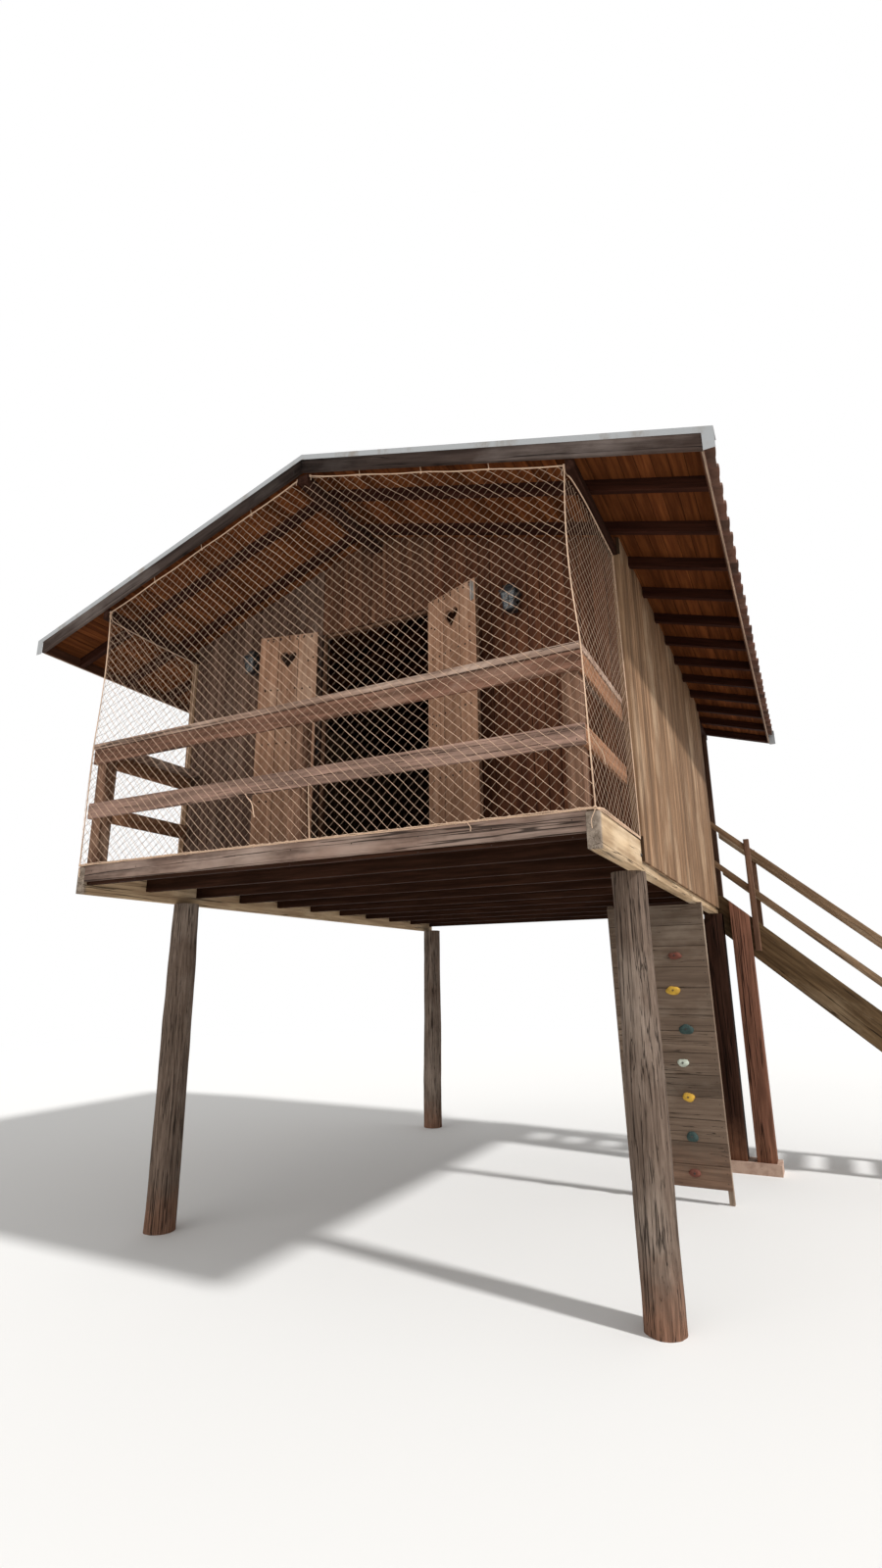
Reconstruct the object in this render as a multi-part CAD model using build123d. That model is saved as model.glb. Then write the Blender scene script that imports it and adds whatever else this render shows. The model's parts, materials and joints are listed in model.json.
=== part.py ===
from build123d import *
import os
from math import atan, cos, radians, sin, tan

# Raised timber cabin with a front balcony, a low gable roof and a side stair.
# Millimetres, +X to the right along the front, +Y to the back, +Z up from the ground.

# Ground and floor
deck_top = 2900.0
deck_board_thickness = 25.0
deck_board_width = 117.0
deck_board_gap = 3.0

# Platform timbers
platform_width = 4240.0
platform_depth = 6000.0
side_beam_thickness = 80.0
side_beam_depth = 210.0
fascia_thickness = 30.0
fascia_depth = 142.0
joist_thickness = 50.0
joist_depth = 140.0
joist_count = 11

# Round log posts: distance of each axis from the beam's outer face and the platform's end
log_radius = 125.0
log_taper = 8.0
front_log_inset = 105.0
rear_log_inset = 155.0
front_log_setback = 1080.0
rear_log_setback = 150.0
log_lean = 1.2

# Square posts under the rear right corner and the stair, on a masonry footing
square_post_side = 190.0
stair_post_gap = 90.0
footing_height = 110.0
footing_margin = 45.0

# Cabin
balcony_depth = 1050.0
cabin_depth = 4100.0
cladding_thickness = 22.0
cladding_board = 101.0
cladding_lap = 170.0
groove_depth = 4.0
stud_side = 70.0
trim_width = 66.0
trim_thickness = 16.0
stop = 15.0
stop_clearance = 6.0

# Roof: slope, overhangs and the layers above the rafters' underside
roof_rise = 886.0
roof_run = 2871.0
ridge_underside = 2872.5
front_overhang = 71.0
rear_overhang = 100.0
rafter_depth = 80.0
rafter_thickness = 50.0
rafter_count = 12
first_rafter = 305.0
lining_thickness = 15.0
lining_board = 98.0
tile_thickness = 48.0
tile_overhang = 68.0
tile_courses = 9
tile_step = 16.0
barge_thickness = 25.0
barge_depth = 117.5
flashing_thickness = 2.0
flashing_lap = 10.0
flashing_cover = 130.0
eave_board_thickness = 20.0
ridge_tile_radius = 105.0
ridge_tile_thickness = 12.0
ridge_tile_length = 380.0
ridge_tile_joint = 1.0
ridge_facets = 8
ridge_beam_width = 100.0
ridge_beam_depth = 68.0
plate_width = 60.0
plate_depth = 70.0

# Railing
rail_cap_top = 1000.0
rail_cap_thickness = 45.0
rail_cap_width = 140.0
rail_board_thickness = 25.0
rail_board_depth = 128.0
lower_rail_top = 494.0
rail_post_side = 105.0
rail_inset = 50.0
rail_proud = 12.0
cap_overhang = 6.0

# Doorway and the two door leaves that open outward
doorway_width = 1136.0
doorway_height = 2115.0
leaf_width = 556.0
leaf_height = 2098.0
leaf_thickness = 28.0
leaf_floor_gap = 10.0
leaf_side_gap = 6.0
ledge_thickness = 20.0
ledge_depth = 80.0
ledge_hinge_gap = 40.0
ledge_free_gap = 25.0
ledge_levels = (0.026, 0.266, 0.511, 0.751, 0.975)
hinge_levels = (0.115, 0.5, 0.87)
hinge_offset = 28.0
hinge_pin_radius = 6.0
hinge_clearance = 0.5
hinge_height = 90.0
hinge_plate_thickness = 3.0
hinge_plate_end = 38.0
knuckle_wall = 4.0
hinge_arm_thickness = 3.0
hinge_plate_lap = 2.0
pin_bracket_gap = 2.0
pin_bracket_height = 24.0
pin_bracket_half = 5.0
pin_bracket_reach = 60.0
pin_spare = 5.0
pin_drop = 4.0
left_leaf_open = 166.0
right_leaf_open = 159.0
heart_width = 150.0
heart_centre_drop = 235.0
heart_lobe_radius = 0.265
heart_lobe_rise = 0.225
heart_shoulder_reach = 0.482
heart_shoulder_rise = 0.105
heart_notch_rise = 0.3
heart_tip_drop = 0.56
bolt_length = 150.0
bolt_radius = 6.0
bolt_edge_distance = 35.0
bolt_plate_width = 40.0
bolt_plate_thickness = 3.0
bolt_keeper_width = 22.0
bolt_rod_gap = 1.0
bolt_rod_share = 1.15
bolt_keeper_share = 0.14
bolt_keeper_levels = (-0.39, 0.25)
bolt_drop_share = 0.7

# Entrance from the rear porch: a plain board leaf in the back wall
entry_x = 900.0
entry_width = 860.0
entry_gap = 5.0

# Wall lanterns
lantern_offset = 1290.0
lantern_height = 1950.0
lantern_body_width = 130.0
lantern_reach = 95.0
lantern_plate = (70.0, 12.0, -70.0, 90.0)
lantern_arm_side = 16.0
lantern_arm_top = 134.0
lantern_strut_depth = 12.0
lantern_strut_foot = 60.0
lantern_cap_foot = 92.0
lantern_cap_overhang = 10.0
lantern_cap_head = 36.0
lantern_bar = 9.0
lantern_bar_foot = (25.0, -100.0)
lantern_bar_head = (4.0, 94.0)
lantern_base = (20.0, 14.0, -105.0)
lantern_pane_foot = (31.0, -98.0)
lantern_pane_head = (10.0, 92.0)

# Safety net: border cord
cord_radius = 4.0
cord_gap = 0.3
cord_deck_drop = 15.0
cord_corner_inset = 20.0

# Climbing panel
panel_width = 900.0
panel_foot_y = 3690.0
panel_head_y = 3450.0
panel_thickness = 25.0
panel_plank = 190.0
panel_ground_gap = 130.0
panel_leg_width = 45.0
panel_leg_depth = 60.0
hold_size = 85.0
hold_height = 45.0
hold_columns = ((300.0, 0.0), (640.0, 140.0))
hold_sway = 35.0
hold_facets = 8
hold_sections = ((0.0, 1.0), (0.55, 0.86), (1.0, 0.42))
panel_head_gap = 15.0
panel_proud = 40.0

# Stair
stair_width = 800.0
stair_pitch = 41.7
stair_risers = 14
stringer_thickness = 40.0
stringer_depth = 336.0
tread_thickness = 38.0
tread_depth = 245.0
stair_rail_depth = 80.0
stair_rail_thickness = 38.0
stair_rail_heights = (380.0, 850.0)
stair_newel_side = 60.0
stair_newels_along = (320.0, 1600.0, 2880.0)
stair_newel_head = 40.0
stair_newel_foot_share = 0.7
stair_rail_end = 120.0
stair_start = 40.0
stringer_head_drop = 20.0
tread_nosing = 20.0

# Worked-out places
half_width = platform_width / 2
beam_top = deck_top - deck_board_thickness
beam_bottom = beam_top - side_beam_depth
wall_outer_x = half_width + cladding_thickness
front_wall_y = balcony_depth
back_wall_y = balcony_depth + cabin_depth
wall_inner_front = front_wall_y + cladding_thickness
wall_inner_back = back_wall_y - cladding_thickness
pitch = atan(roof_rise / roof_run)
slope = tan(pitch)
roof_front = -front_overhang
roof_back = platform_depth + rear_overhang
barge_inner_front = roof_front + barge_thickness
barge_inner_back = roof_back - barge_thickness
eave_x = roof_run
rafter_end_x = eave_x - eave_board_thickness

nodes = {}


def block(x0, x1, y0, y1, z0, z1):
    """Rectangular solid between two corners."""
    centre = Pos((x0 + x1) / 2, (y0 + y1) / 2, (z0 + z1) / 2)
    return centre * Box(abs(x1 - x0), abs(y1 - y0), abs(z1 - z0))


def profile_xz(points, y0, y1):
    """Extrude an outline drawn in the XZ plane from y0 to y1."""
    face = make_face(Polyline(*[(x, y0, z) for x, z in points], close=True))
    return extrude(face, amount=y1 - y0, dir=(0, 1, 0))


def profile_yz(points, x0, x1):
    """Extrude an outline drawn in the YZ plane from x0 to x1."""
    face = make_face(Polyline(*[(x0, y, z) for y, z in points], close=True))
    return extrude(face, amount=x1 - x0, dir=(1, 0, 0))


def profile_xy(points, z0, z1):
    """Extrude an outline drawn in plan from z0 to z1."""
    face = make_face(Polyline(*[(x, y, z0) for x, y in points], close=True))
    return extrude(face, amount=z1 - z0, dir=(0, 0, 1))


def mirrored(shape):
    """The same piece on the other side of the centre line."""
    return mirror(shape, about=Plane.YZ)


def roof_z(x, above=0.0):
    """Height of the roof plane at x, a distance above the rafters' underside, square to it."""
    return deck_top + ridge_underside - abs(x) * slope + above / cos(pitch)


def roof_strip(x0, x1, low, high, y0, y1):
    """Sloping strip of the right-hand roof between two offsets above the rafters' underside."""
    outline = [(x0, roof_z(x0, low)), (x1, roof_z(x1, low)), (x1, roof_z(x1, high)), (x0, roof_z(x0, high))]
    return profile_xz(outline, y0, y1)


def grooved_line(length, board, thickness):
    """Plan outline of a row of tongued boards, with a V groove at each joint of the outer face."""
    count = max(1, round(length / board))
    pitch_step = length / count
    outline = [(0.0, 0.0)]
    for joint in range(1, count):
        along = joint * pitch_step
        outline.append((along - groove_depth, 0.0))
        outline.append((along, groove_depth))
        outline.append((along + groove_depth, 0.0))
    outline.append((length, 0.0))
    outline.append((length, thickness))
    outline.append((0.0, thickness))
    return outline


def group(shapes):
    """Several like solids kept as one piece."""
    return Compound([solid for shape in shapes for solid in shape.solids()])


def both_sides(shape):
    """A right-hand piece and its twin on the left, kept as one piece."""
    return group([shape, mirrored(shape)])


def keep(name, shape):
    """Store one named piece."""
    nodes[name] = shape


# Log posts, slightly tapered and leaning, each cut flat at the ground and under the beam
def log_post(x, y, lean_x, lean_y):
    height = beam_bottom
    outline = []
    sides = 14
    for index in range(sides):
        angle = radians(360.0 * index / sides)
        swell = 1.0 + 0.05 * sin(3 * angle) + 0.03 * cos(2 * angle)
        outline.append((swell * cos(angle), swell * sin(angle)))
    foot_radius = log_radius + log_taper
    head_radius = log_radius - log_taper
    foot = make_face(Polyline(*[(foot_radius * u, foot_radius * v) for u, v in outline], close=True))
    head = make_face(Polyline(*[(head_radius * u, head_radius * v) for u, v in outline], close=True))
    return loft([Pos(x + lean_x, y + lean_y, 0) * foot, Pos(x, y, height) * head], ruled=True)


front_log_x = half_width - front_log_inset
rear_log_x = half_width - rear_log_inset
rear_log_y = platform_depth - rear_log_setback
lean = beam_bottom * tan(radians(log_lean))
log_posts = [
    log_post(-front_log_x, front_log_setback, -lean / 2, 0),
    log_post(front_log_x, front_log_setback, lean / 2, -lean),
    log_post(-rear_log_x, rear_log_y, 0, 0),
    log_post(rear_log_x, rear_log_y, 0, 0),
]
keep("log_posts", group(log_posts))


# Platform: two deep side beams, end boards between them, joists and deck boards
inner_x = half_width - side_beam_thickness
right_beam = block(inner_x, half_width, 0, platform_depth, beam_bottom, beam_top)
keep("side_beams", both_sides(right_beam))
fascia_bottom = deck_top - fascia_depth
front_fascia = block(-inner_x, inner_x, 0, fascia_thickness, fascia_bottom, deck_top)
rear_board_y = platform_depth - fascia_thickness
rear_fascia = block(-inner_x, inner_x, rear_board_y, platform_depth, fascia_bottom, deck_top)
keep("end_boards", group([front_fascia, rear_fascia]))
joists = []
joist_run = platform_depth - 2 * fascia_thickness - joist_thickness
for index in range(joist_count):
    joist_y = fascia_thickness + joist_run * index / (joist_count - 1)
    joist_end = joist_y + joist_thickness
    joists.append(block(-inner_x, inner_x, joist_y, joist_end, beam_top - joist_depth, beam_top))
keep("joists", group(joists))
boards = []
board_pitch = deck_board_width + deck_board_gap
board_count = round(platform_width / board_pitch)
board_step = (platform_width + deck_board_gap) / board_count
for index in range(board_count):
    board_x = -half_width + index * board_step
    board_end = board_x + board_step - deck_board_gap
    boards.append(block(board_x, board_end, fascia_thickness, rear_board_y, beam_top, deck_top))
keep("deck_boards", group(boards))

# Roof timbers: ridge beam, wall plates, rafters
beam_half = ridge_beam_width / 2
ridge_top = roof_z(beam_half)
ridge_bottom = ridge_top - ridge_beam_depth
ridge_beam = block(-beam_half, beam_half, barge_inner_front, barge_inner_back, ridge_bottom, ridge_top)
keep("ridge_beam", ridge_beam)
plate_inner_x = half_width - plate_width
plate_bottom = roof_z(half_width) - plate_depth
plate_outline = [
    (plate_inner_x, plate_bottom),
    (half_width, plate_bottom),
    (half_width, roof_z(half_width)),
    (plate_inner_x, roof_z(plate_inner_x)),
]
right_plate = profile_xz(plate_outline, barge_inner_front, barge_inner_back)
keep("wall_plates", both_sides(right_plate))
rafters = []
rafter_span = barge_inner_back - rafter_thickness - first_rafter
for index in range(rafter_count):
    rafter_y = first_rafter + rafter_span * index / (rafter_count - 1)
    rafters.append(roof_strip(0, rafter_end_x, 0, rafter_depth, rafter_y, rafter_y + rafter_thickness))
right_rafters = group(rafters)
keep("rafters_right", right_rafters)
keep("rafters_left", mirrored(right_rafters))


# Roof lining: boards along the ridge direction, V-jointed on the underside
def lining():
    low = rafter_depth
    high = rafter_depth + lining_thickness
    count = round(rafter_end_x / lining_board)
    step = rafter_end_x / count
    lower = [(0.0, roof_z(0, low))]
    for joint in range(1, count):
        along = joint * step
        lower.append((along - groove_depth, roof_z(along - groove_depth, low)))
        lower.append((along, roof_z(along, low + groove_depth)))
        lower.append((along + groove_depth, roof_z(along + groove_depth, low)))
    lower.append((rafter_end_x, roof_z(rafter_end_x, low)))
    upper = [(rafter_end_x, roof_z(rafter_end_x, high)), (0.0, roof_z(0, high))]
    return profile_xz(lower + upper, barge_inner_front, barge_inner_back)


right_lining = lining()
keep("roof_lining_right", right_lining)
keep("roof_lining_left", mirrored(right_lining))

# Boards along both eaves and along both gables
lining_top = rafter_depth + lining_thickness
eave_board = roof_strip(rafter_end_x, eave_x, 0, lining_top, barge_inner_front, barge_inner_back)
keep("eave_boards", both_sides(eave_board))


def barge(y0, y1):
    """Pair of sloping boards that meet in a mitre at the ridge."""
    outline = [
        (0, roof_z(0)),
        (eave_x, roof_z(eave_x)),
        (eave_x, roof_z(eave_x) + barge_depth),
        (0, roof_z(0) + barge_depth),
    ]
    return both_sides(profile_xz(outline, y0, y1))


keep("barge_boards_front", barge(roof_front, barge_inner_front))
keep("barge_boards_rear", barge(barge_inner_back, roof_back))

# Tile covering: stepped courses on the lining, from ridge to eave
tile_base = lining_top
tile_end_x = eave_x + tile_overhang
tile_start_x = 30.0


tile_course_run = (tile_end_x - tile_start_x) / tile_courses


def tile_slope():
    upper = []
    for course in range(tile_courses):
        top_x = tile_start_x + course * tile_course_run
        low_x = top_x + tile_course_run
        upper.append((top_x, roof_z(top_x, tile_base + tile_thickness - tile_step)))
        upper.append((low_x, roof_z(low_x, tile_base + tile_thickness)))
    lower = [(tile_end_x, roof_z(tile_end_x, tile_base)), (tile_start_x, roof_z(tile_start_x, tile_base))]
    return profile_xz(upper + lower, barge_inner_front, barge_inner_back)


right_tiles = tile_slope()
keep("roof_tiles_right", right_tiles)
keep("roof_tiles_left", mirrored(right_tiles))

# Half-round ridge tiles over the joint of the two slopes, between the two flashings
ridge_tiles = []
ridge_start = roof_front + flashing_cover
ridge_cover_length = roof_back - flashing_cover - ridge_start
ridge_count = round(ridge_cover_length / ridge_tile_length)
ridge_step = ridge_cover_length / ridge_count
ridge_foot_x = ridge_tile_radius - ridge_tile_thickness
ridge_foot_share = (ridge_foot_x - tile_start_x) / tile_course_run
ridge_seat = tile_base + tile_thickness - tile_step * (1 - ridge_foot_share)
ridge_axis_z = roof_z(ridge_foot_x, ridge_seat)
ridge_outline = []
for radius, way in ((ridge_tile_radius, 1), (ridge_foot_x, -1)):
    for index in range(ridge_facets + 1):
        angle = way * (radians(180.0 * index / ridge_facets) - radians(90.0))
        ridge_outline.append((radius * sin(angle), ridge_axis_z + radius * cos(angle)))
for index in range(ridge_count):
    y0 = ridge_start + index * ridge_step
    ridge_tiles.append(profile_xz(ridge_outline, y0, y0 + ridge_step - ridge_tile_joint))
keep("ridge_tiles", group(ridge_tiles))


# Metal flashing over each gable edge, with a turned-down end plate at the eaves
def flashing(face_y, inward):
    front = face_y
    outer = front - inward * flashing_thickness
    low = barge_depth - flashing_lap
    under = (tile_base + tile_thickness) / cos(pitch)
    high = under + flashing_thickness

    def band(bottom, top, x1, y0, y1):
        outline = [
            (0, roof_z(0) + bottom),
            (x1, roof_z(x1) + bottom),
            (x1, roof_z(x1) + top),
            (0, roof_z(0) + top),
        ]
        return profile_xz(outline, min(y0, y1), max(y0, y1))

    face = band(low, high, tile_end_x, outer, front)
    cover = band(under, high, tile_end_x, front, front + inward * flashing_cover)
    plate_top = roof_z(eave_x) + low
    plate_low = roof_z(eave_x) - flashing_lap
    end_plate = block(eave_x, tile_end_x, min(outer, front), max(outer, front), plate_low, plate_top)
    return both_sides(face + cover + end_plate)


keep("gable_flashings", group([flashing(roof_front, 1), flashing(roof_back, -1)]))


# Cabin walls: vertical tongued boards up to the roof lining
def under_roof(x0, x1, y0, y1, z0):
    """Everything under the roof lining in a plan rectangle."""
    outline = [(x0, z0), (x1, z0), (x1, roof_z(x1, rafter_depth))]
    if x0 < 0 < x1:
        outline.append((0, roof_z(0, rafter_depth)))
    outline.append((x0, roof_z(x0, rafter_depth)))
    return profile_xz(outline, y0, y1)


def gable_boards(x0, x1, z0, z1, face_y, outward):
    """Row of vertical boards facing -Y (outward -1) or +Y (outward 1)."""
    line = grooved_line(x1 - x0, cladding_board, cladding_thickness)
    plan = [(x0 + along, face_y - outward * deep) for along, deep in line]
    boards_solid = profile_xy(plan, z0, z1)
    back_y = face_y - outward * cladding_thickness
    limit = under_roof(x0, x1, min(face_y, back_y) - 1, max(face_y, back_y) + 1, z0)
    return boards_solid & limit


wall_top = roof_z(0, rafter_depth) + 50.0
roof_members = [ridge_beam, right_plate, mirrored(right_plate)]


def without_members(shape):
    """Notch a wall round the roof timbers that pass through it."""
    for member in roof_members:
        shape = shape - member
    return shape


jamb_x = doorway_width / 2
doorway_top = deck_top + doorway_height
front_left = gable_boards(-half_width, -jamb_x, deck_top, wall_top, front_wall_y, -1)
front_right = gable_boards(jamb_x, half_width, deck_top, wall_top, front_wall_y, -1)
front_over = gable_boards(-jamb_x, jamb_x, doorway_top, wall_top, front_wall_y, -1)
keep("front_wall_left", without_members(front_left))
keep("front_wall_right", without_members(front_right))
keep("front_wall_over", without_members(front_over))

# Back wall with a plain doorway for the entrance from the rear porch
entry_left = entry_x - entry_width / 2
entry_right = entry_x + entry_width / 2
back_boards = gable_boards(-half_width, half_width, deck_top, wall_top, back_wall_y, 1)
entry_hole = block(entry_left, entry_right, wall_inner_back - 1, back_wall_y + 1, deck_top - 1, doorway_top)
keep("back_wall", without_members(back_boards) - entry_hole)
entry_x0 = entry_left + entry_gap
entry_x1 = entry_right - entry_gap
entry_z0 = deck_top + entry_gap
entry_leaf = block(entry_x0, entry_x1, wall_inner_back, back_wall_y, entry_z0, doorway_top - entry_gap)
keep("entry_door", entry_leaf)


# Side walls lap over the upper part of the side beams and are notched round the rafters
def side_wall():
    line = grooved_line(cabin_depth, cladding_board, cladding_thickness)
    plan = [(wall_outer_x - deep, front_wall_y + along) for along, deep in line]
    wall_foot = deck_top - cladding_lap
    solid = profile_xy(plan, wall_foot, wall_top)
    limit = under_roof(half_width - 1, wall_outer_x + 1, front_wall_y - 1, back_wall_y + 1, wall_foot)
    return (solid & limit) - right_rafters


right_wall = side_wall()
keep("right_wall", right_wall)
keep("left_wall", mirrored(right_wall))

# Corner trims on the front and back faces
trim_outer = wall_outer_x
trim_inner = trim_outer - trim_width
trims = []
for side in (-1, 1):
    for face_y, away in ((front_wall_y, -1), (back_wall_y, 1)):
        x0 = side * trim_inner
        x1 = side * trim_outer
        y0 = face_y
        y1 = face_y + away * trim_thickness
        trims.append(block(x0, x1, y0, y1, deck_top, plate_bottom))
keep("corner_trims", group(trims))

# Wall frame inside the cladding: corner posts and door posts up to the plates
frame_posts = []
for side in (-1, 1):
    for y0 in (wall_inner_front, wall_inner_back - stud_side):
        x0 = side * (half_width - stud_side)
        frame_posts.append(block(x0, side * half_width, y0, y0 + stud_side, deck_top, plate_bottom))
keep("corner_posts", group(frame_posts))

# Door frames: jambs behind the cladding, with a narrow stop behind the leaves
stop_y0 = front_wall_y + leaf_thickness + stop_clearance
jambs = []
for side in (-1, 1):
    outline = [
        (side * jamb_x, wall_inner_front),
        (side * jamb_x, stop_y0),
        (side * (jamb_x - stop), stop_y0),
        (side * (jamb_x - stop), wall_inner_front + stud_side),
        (side * (jamb_x + stud_side), wall_inner_front + stud_side),
        (side * (jamb_x + stud_side), wall_inner_front),
    ]
    jambs.append(profile_xy(outline, deck_top, doorway_top + stud_side))
head_x = jamb_x - stop
head_y1 = wall_inner_front + stud_side
jambs.append(block(-head_x, head_x, stop_y0, head_y1, doorway_top - stop, doorway_top + stud_side))
# The entrance at the back: its leaf closes against the frame's front face
entry_frame_y = wall_inner_back - stud_side
entry_jambs = ((entry_left - stud_side, entry_left + stop), (entry_right - stop, entry_right + stud_side))
for x0, x1 in entry_jambs:
    jambs.append(block(x0, x1, entry_frame_y, wall_inner_back, deck_top, doorway_top + stud_side))
x0 = entry_left + stop
x1 = entry_right - stop
entry_head_z = doorway_top - stop
jambs.append(block(x0, x1, entry_frame_y, wall_inner_back, entry_head_z, doorway_top + stud_side))
keep("door_frames", group(jambs))

# Railing: posts, two boards outside them on each side and a cap
rail_outer_x = half_width - rail_inset
rail_inner_x = rail_outer_x - rail_board_thickness
rail_front = -rail_proud
rail_back = rail_front + rail_board_thickness
upper_rail_top = deck_top + rail_cap_top - rail_cap_thickness
rail_levels = (upper_rail_top, deck_top + lower_rail_top)
post_x1 = rail_inner_x
post_x0 = post_x1 - rail_post_side
rail_post_y1 = rail_back + rail_post_side
rail_posts = []
for x0 in (-post_x1, -rail_post_side / 2, post_x0):
    x1 = x0 + rail_post_side
    rail_posts.append(block(x0, x1, rail_back, rail_post_y1, deck_top, upper_rail_top))
keep("rail_posts_front", group(rail_posts))
front_rails = []
side_rails = []
rail_side_end = front_wall_y - trim_thickness
for top in rail_levels:
    low = top - rail_board_depth
    front_rails.append(block(-rail_outer_x, rail_outer_x, rail_front, rail_back, low, top))
    side_rails.append(block(rail_inner_x, rail_outer_x, rail_back, rail_side_end, low, top))
keep("rails_front", group(front_rails))
keep("rails_side", both_sides(group(side_rails)))
cap_top = deck_top + rail_cap_top
cap_x1 = rail_outer_x + cap_overhang
cap_x0 = cap_x1 - rail_cap_width
cap_y0 = rail_front - cap_overhang
cap_y1 = cap_y0 + rail_cap_width
cap_front = [(-cap_x1, cap_y0), (cap_x1, cap_y0), (cap_x0, cap_y1), (-cap_x0, cap_y1)]
cap_side = [(cap_x1, cap_y0), (cap_x1, rail_side_end), (cap_x0, rail_side_end), (cap_x0, cap_y1)]
front_cap = profile_xy(cap_front, upper_rail_top, cap_top)
right_cap = profile_xy(cap_side, upper_rail_top, cap_top)
keep("rail_caps", group([front_cap, right_cap, mirrored(right_cap)]))

# Rear porch: corner posts up to the plates, rails on the left and the back
porch_y1 = platform_depth - fascia_thickness
porch_inner_x = half_width - rail_post_side
porch_post_y0 = porch_y1 - rail_post_side
porch_post = block(porch_inner_x, half_width, porch_post_y0, porch_y1, deck_top, plate_bottom)
keep("porch_posts", both_sides(porch_post))
porch_rails = []
porch_rail_start = back_wall_y + trim_thickness
porch_rail_x = rail_board_thickness - half_width
porch_rail_y = porch_y1 - rail_board_thickness
for top in rail_levels:
    low = top - rail_board_depth
    porch_rails.append(block(-porch_inner_x, porch_inner_x, porch_rail_y, porch_y1, low, top))
    porch_rails.append(block(-half_width, porch_rail_x, porch_rail_start, porch_post_y0, low, top))
keep("porch_rails", group(porch_rails))


# Door leaves: three boards on ledges, a heart cut through near the top
def heart(width):
    """Heart outline, point down: two round lobes over a triangle with its tip below."""
    lobe = width / 4
    lobe_z = width * heart_lobe_rise
    shoulder_x = width * heart_shoulder_reach
    shoulder_z = width * heart_shoulder_rise
    notch_z = width * heart_notch_rise
    left_lobe = Pos(-lobe, lobe_z) * Circle(width * heart_lobe_radius)
    right_lobe = Pos(lobe, lobe_z) * Circle(width * heart_lobe_radius)
    corners = [(-shoulder_x, shoulder_z), (0, -width * heart_tip_drop), (shoulder_x, shoulder_z), (0, notch_z)]
    return left_lobe + right_lobe + make_face(Polyline(*corners, close=True))


leaf_z0 = deck_top + leaf_floor_gap
leaf_z1 = leaf_z0 + leaf_height


def door_leaf():
    """Leaf in its closed place, hinge at x = 0, reaching to +X; y = 0 is the pin's centre."""
    x0 = leaf_side_gap
    x1 = x0 + leaf_width
    face = hinge_offset
    board = leaf_width / 3
    line = [(x0, face + leaf_thickness), (x0, face), (x1, face), (x1, face + leaf_thickness)]
    for joint in (2, 1):
        along = x0 + joint * board
        line.append((along + groove_depth, face + leaf_thickness))
        line.append((along, face + leaf_thickness - groove_depth))
        line.append((along - groove_depth, face + leaf_thickness))
    leaf = profile_xy(line, leaf_z0, leaf_z1)
    heart_z = leaf_z1 - heart_centre_drop
    cutter_plane = Plane(origin=((x0 + x1) / 2, face, heart_z), x_dir=(1, 0, 0), z_dir=(0, -1, 0))
    cutter = extrude(cutter_plane * heart(heart_width), amount=leaf_thickness, both=True)
    leaf = leaf - cutter
    ledge_x0 = x0 + ledge_hinge_gap
    ledge_x1 = x1 - ledge_free_gap
    for level in ledge_levels:
        low = leaf_z0 + level * leaf_height - ledge_depth / 2
        leaf = leaf + block(ledge_x0, ledge_x1, face - ledge_thickness, face, low, low + ledge_depth)
    return leaf


def leaf_hinges():
    """Knuckles and plates that the leaf carries."""
    parts = []
    knuckle_outer = hinge_pin_radius + knuckle_wall
    plate_y = hinge_offset - hinge_plate_thickness
    quarter = hinge_height / 4
    for level in hinge_levels:
        z = leaf_z0 + level * leaf_height
        barrel = Cylinder(knuckle_outer, hinge_height / 2)
        barrel = barrel - Cylinder(hinge_pin_radius + hinge_clearance, hinge_height)
        plate_x0 = knuckle_outer - hinge_plate_lap
        plate = block(plate_x0, hinge_plate_end, plate_y, hinge_offset, -quarter, quarter)
        arm = block(knuckle_outer - hinge_arm_thickness, knuckle_outer, 0, hinge_offset, -quarter, quarter)
        parts.append(Pos(0, 0, z) * (barrel + arm + plate))
    return group(parts)


pin_y = front_wall_y - hinge_offset
pin_x = jamb_x


def place_left(shape, opening):
    return Pos(-pin_x, pin_y, 0) * Rot(0, 0, -opening) * shape


def place_right(shape, opening):
    return Pos(pin_x, pin_y, 0) * Rot(0, 0, opening) * mirrored(shape)


keep("door_leaf_left", place_left(door_leaf(), left_leaf_open))
keep("door_leaf_right", place_right(door_leaf(), right_leaf_open))
keep("leaf_hinges_left", place_left(leaf_hinges(), left_leaf_open))
keep("leaf_hinges_right", place_right(leaf_hinges(), right_leaf_open))


# Barrel bolt on the inner face of the right leaf's free edge, near its top
def door_bolt():
    """Plate, sliding rod and the two keepers that carry the rod clear of the plate."""
    bolt_x = leaf_side_gap + leaf_width - bolt_edge_distance
    face = hinge_offset + leaf_thickness
    z = leaf_z1 - bolt_length * bolt_drop_share
    plate_y1 = face + bolt_plate_thickness
    rod_y = plate_y1 + bolt_radius + bolt_rod_gap
    keeper_y1 = rod_y + bolt_radius + bolt_rod_gap
    half_plate = bolt_plate_width / 2
    half_keeper = bolt_keeper_width / 2
    half_length = bolt_length / 2
    plate = block(bolt_x - half_plate, bolt_x + half_plate, face, plate_y1, z - half_length, z + half_length)
    bolt = plate + Pos(bolt_x, rod_y, z) * Cylinder(bolt_radius, bolt_length * bolt_rod_share)
    for level in bolt_keeper_levels:
        low = z + level * bolt_length
        high = low + bolt_keeper_share * bolt_length
        bolt = bolt + block(bolt_x - half_keeper, bolt_x + half_keeper, plate_y1, keeper_y1, low, high)
    return bolt


keep("door_bolt", place_right(door_bolt(), right_leaf_open))

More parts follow.
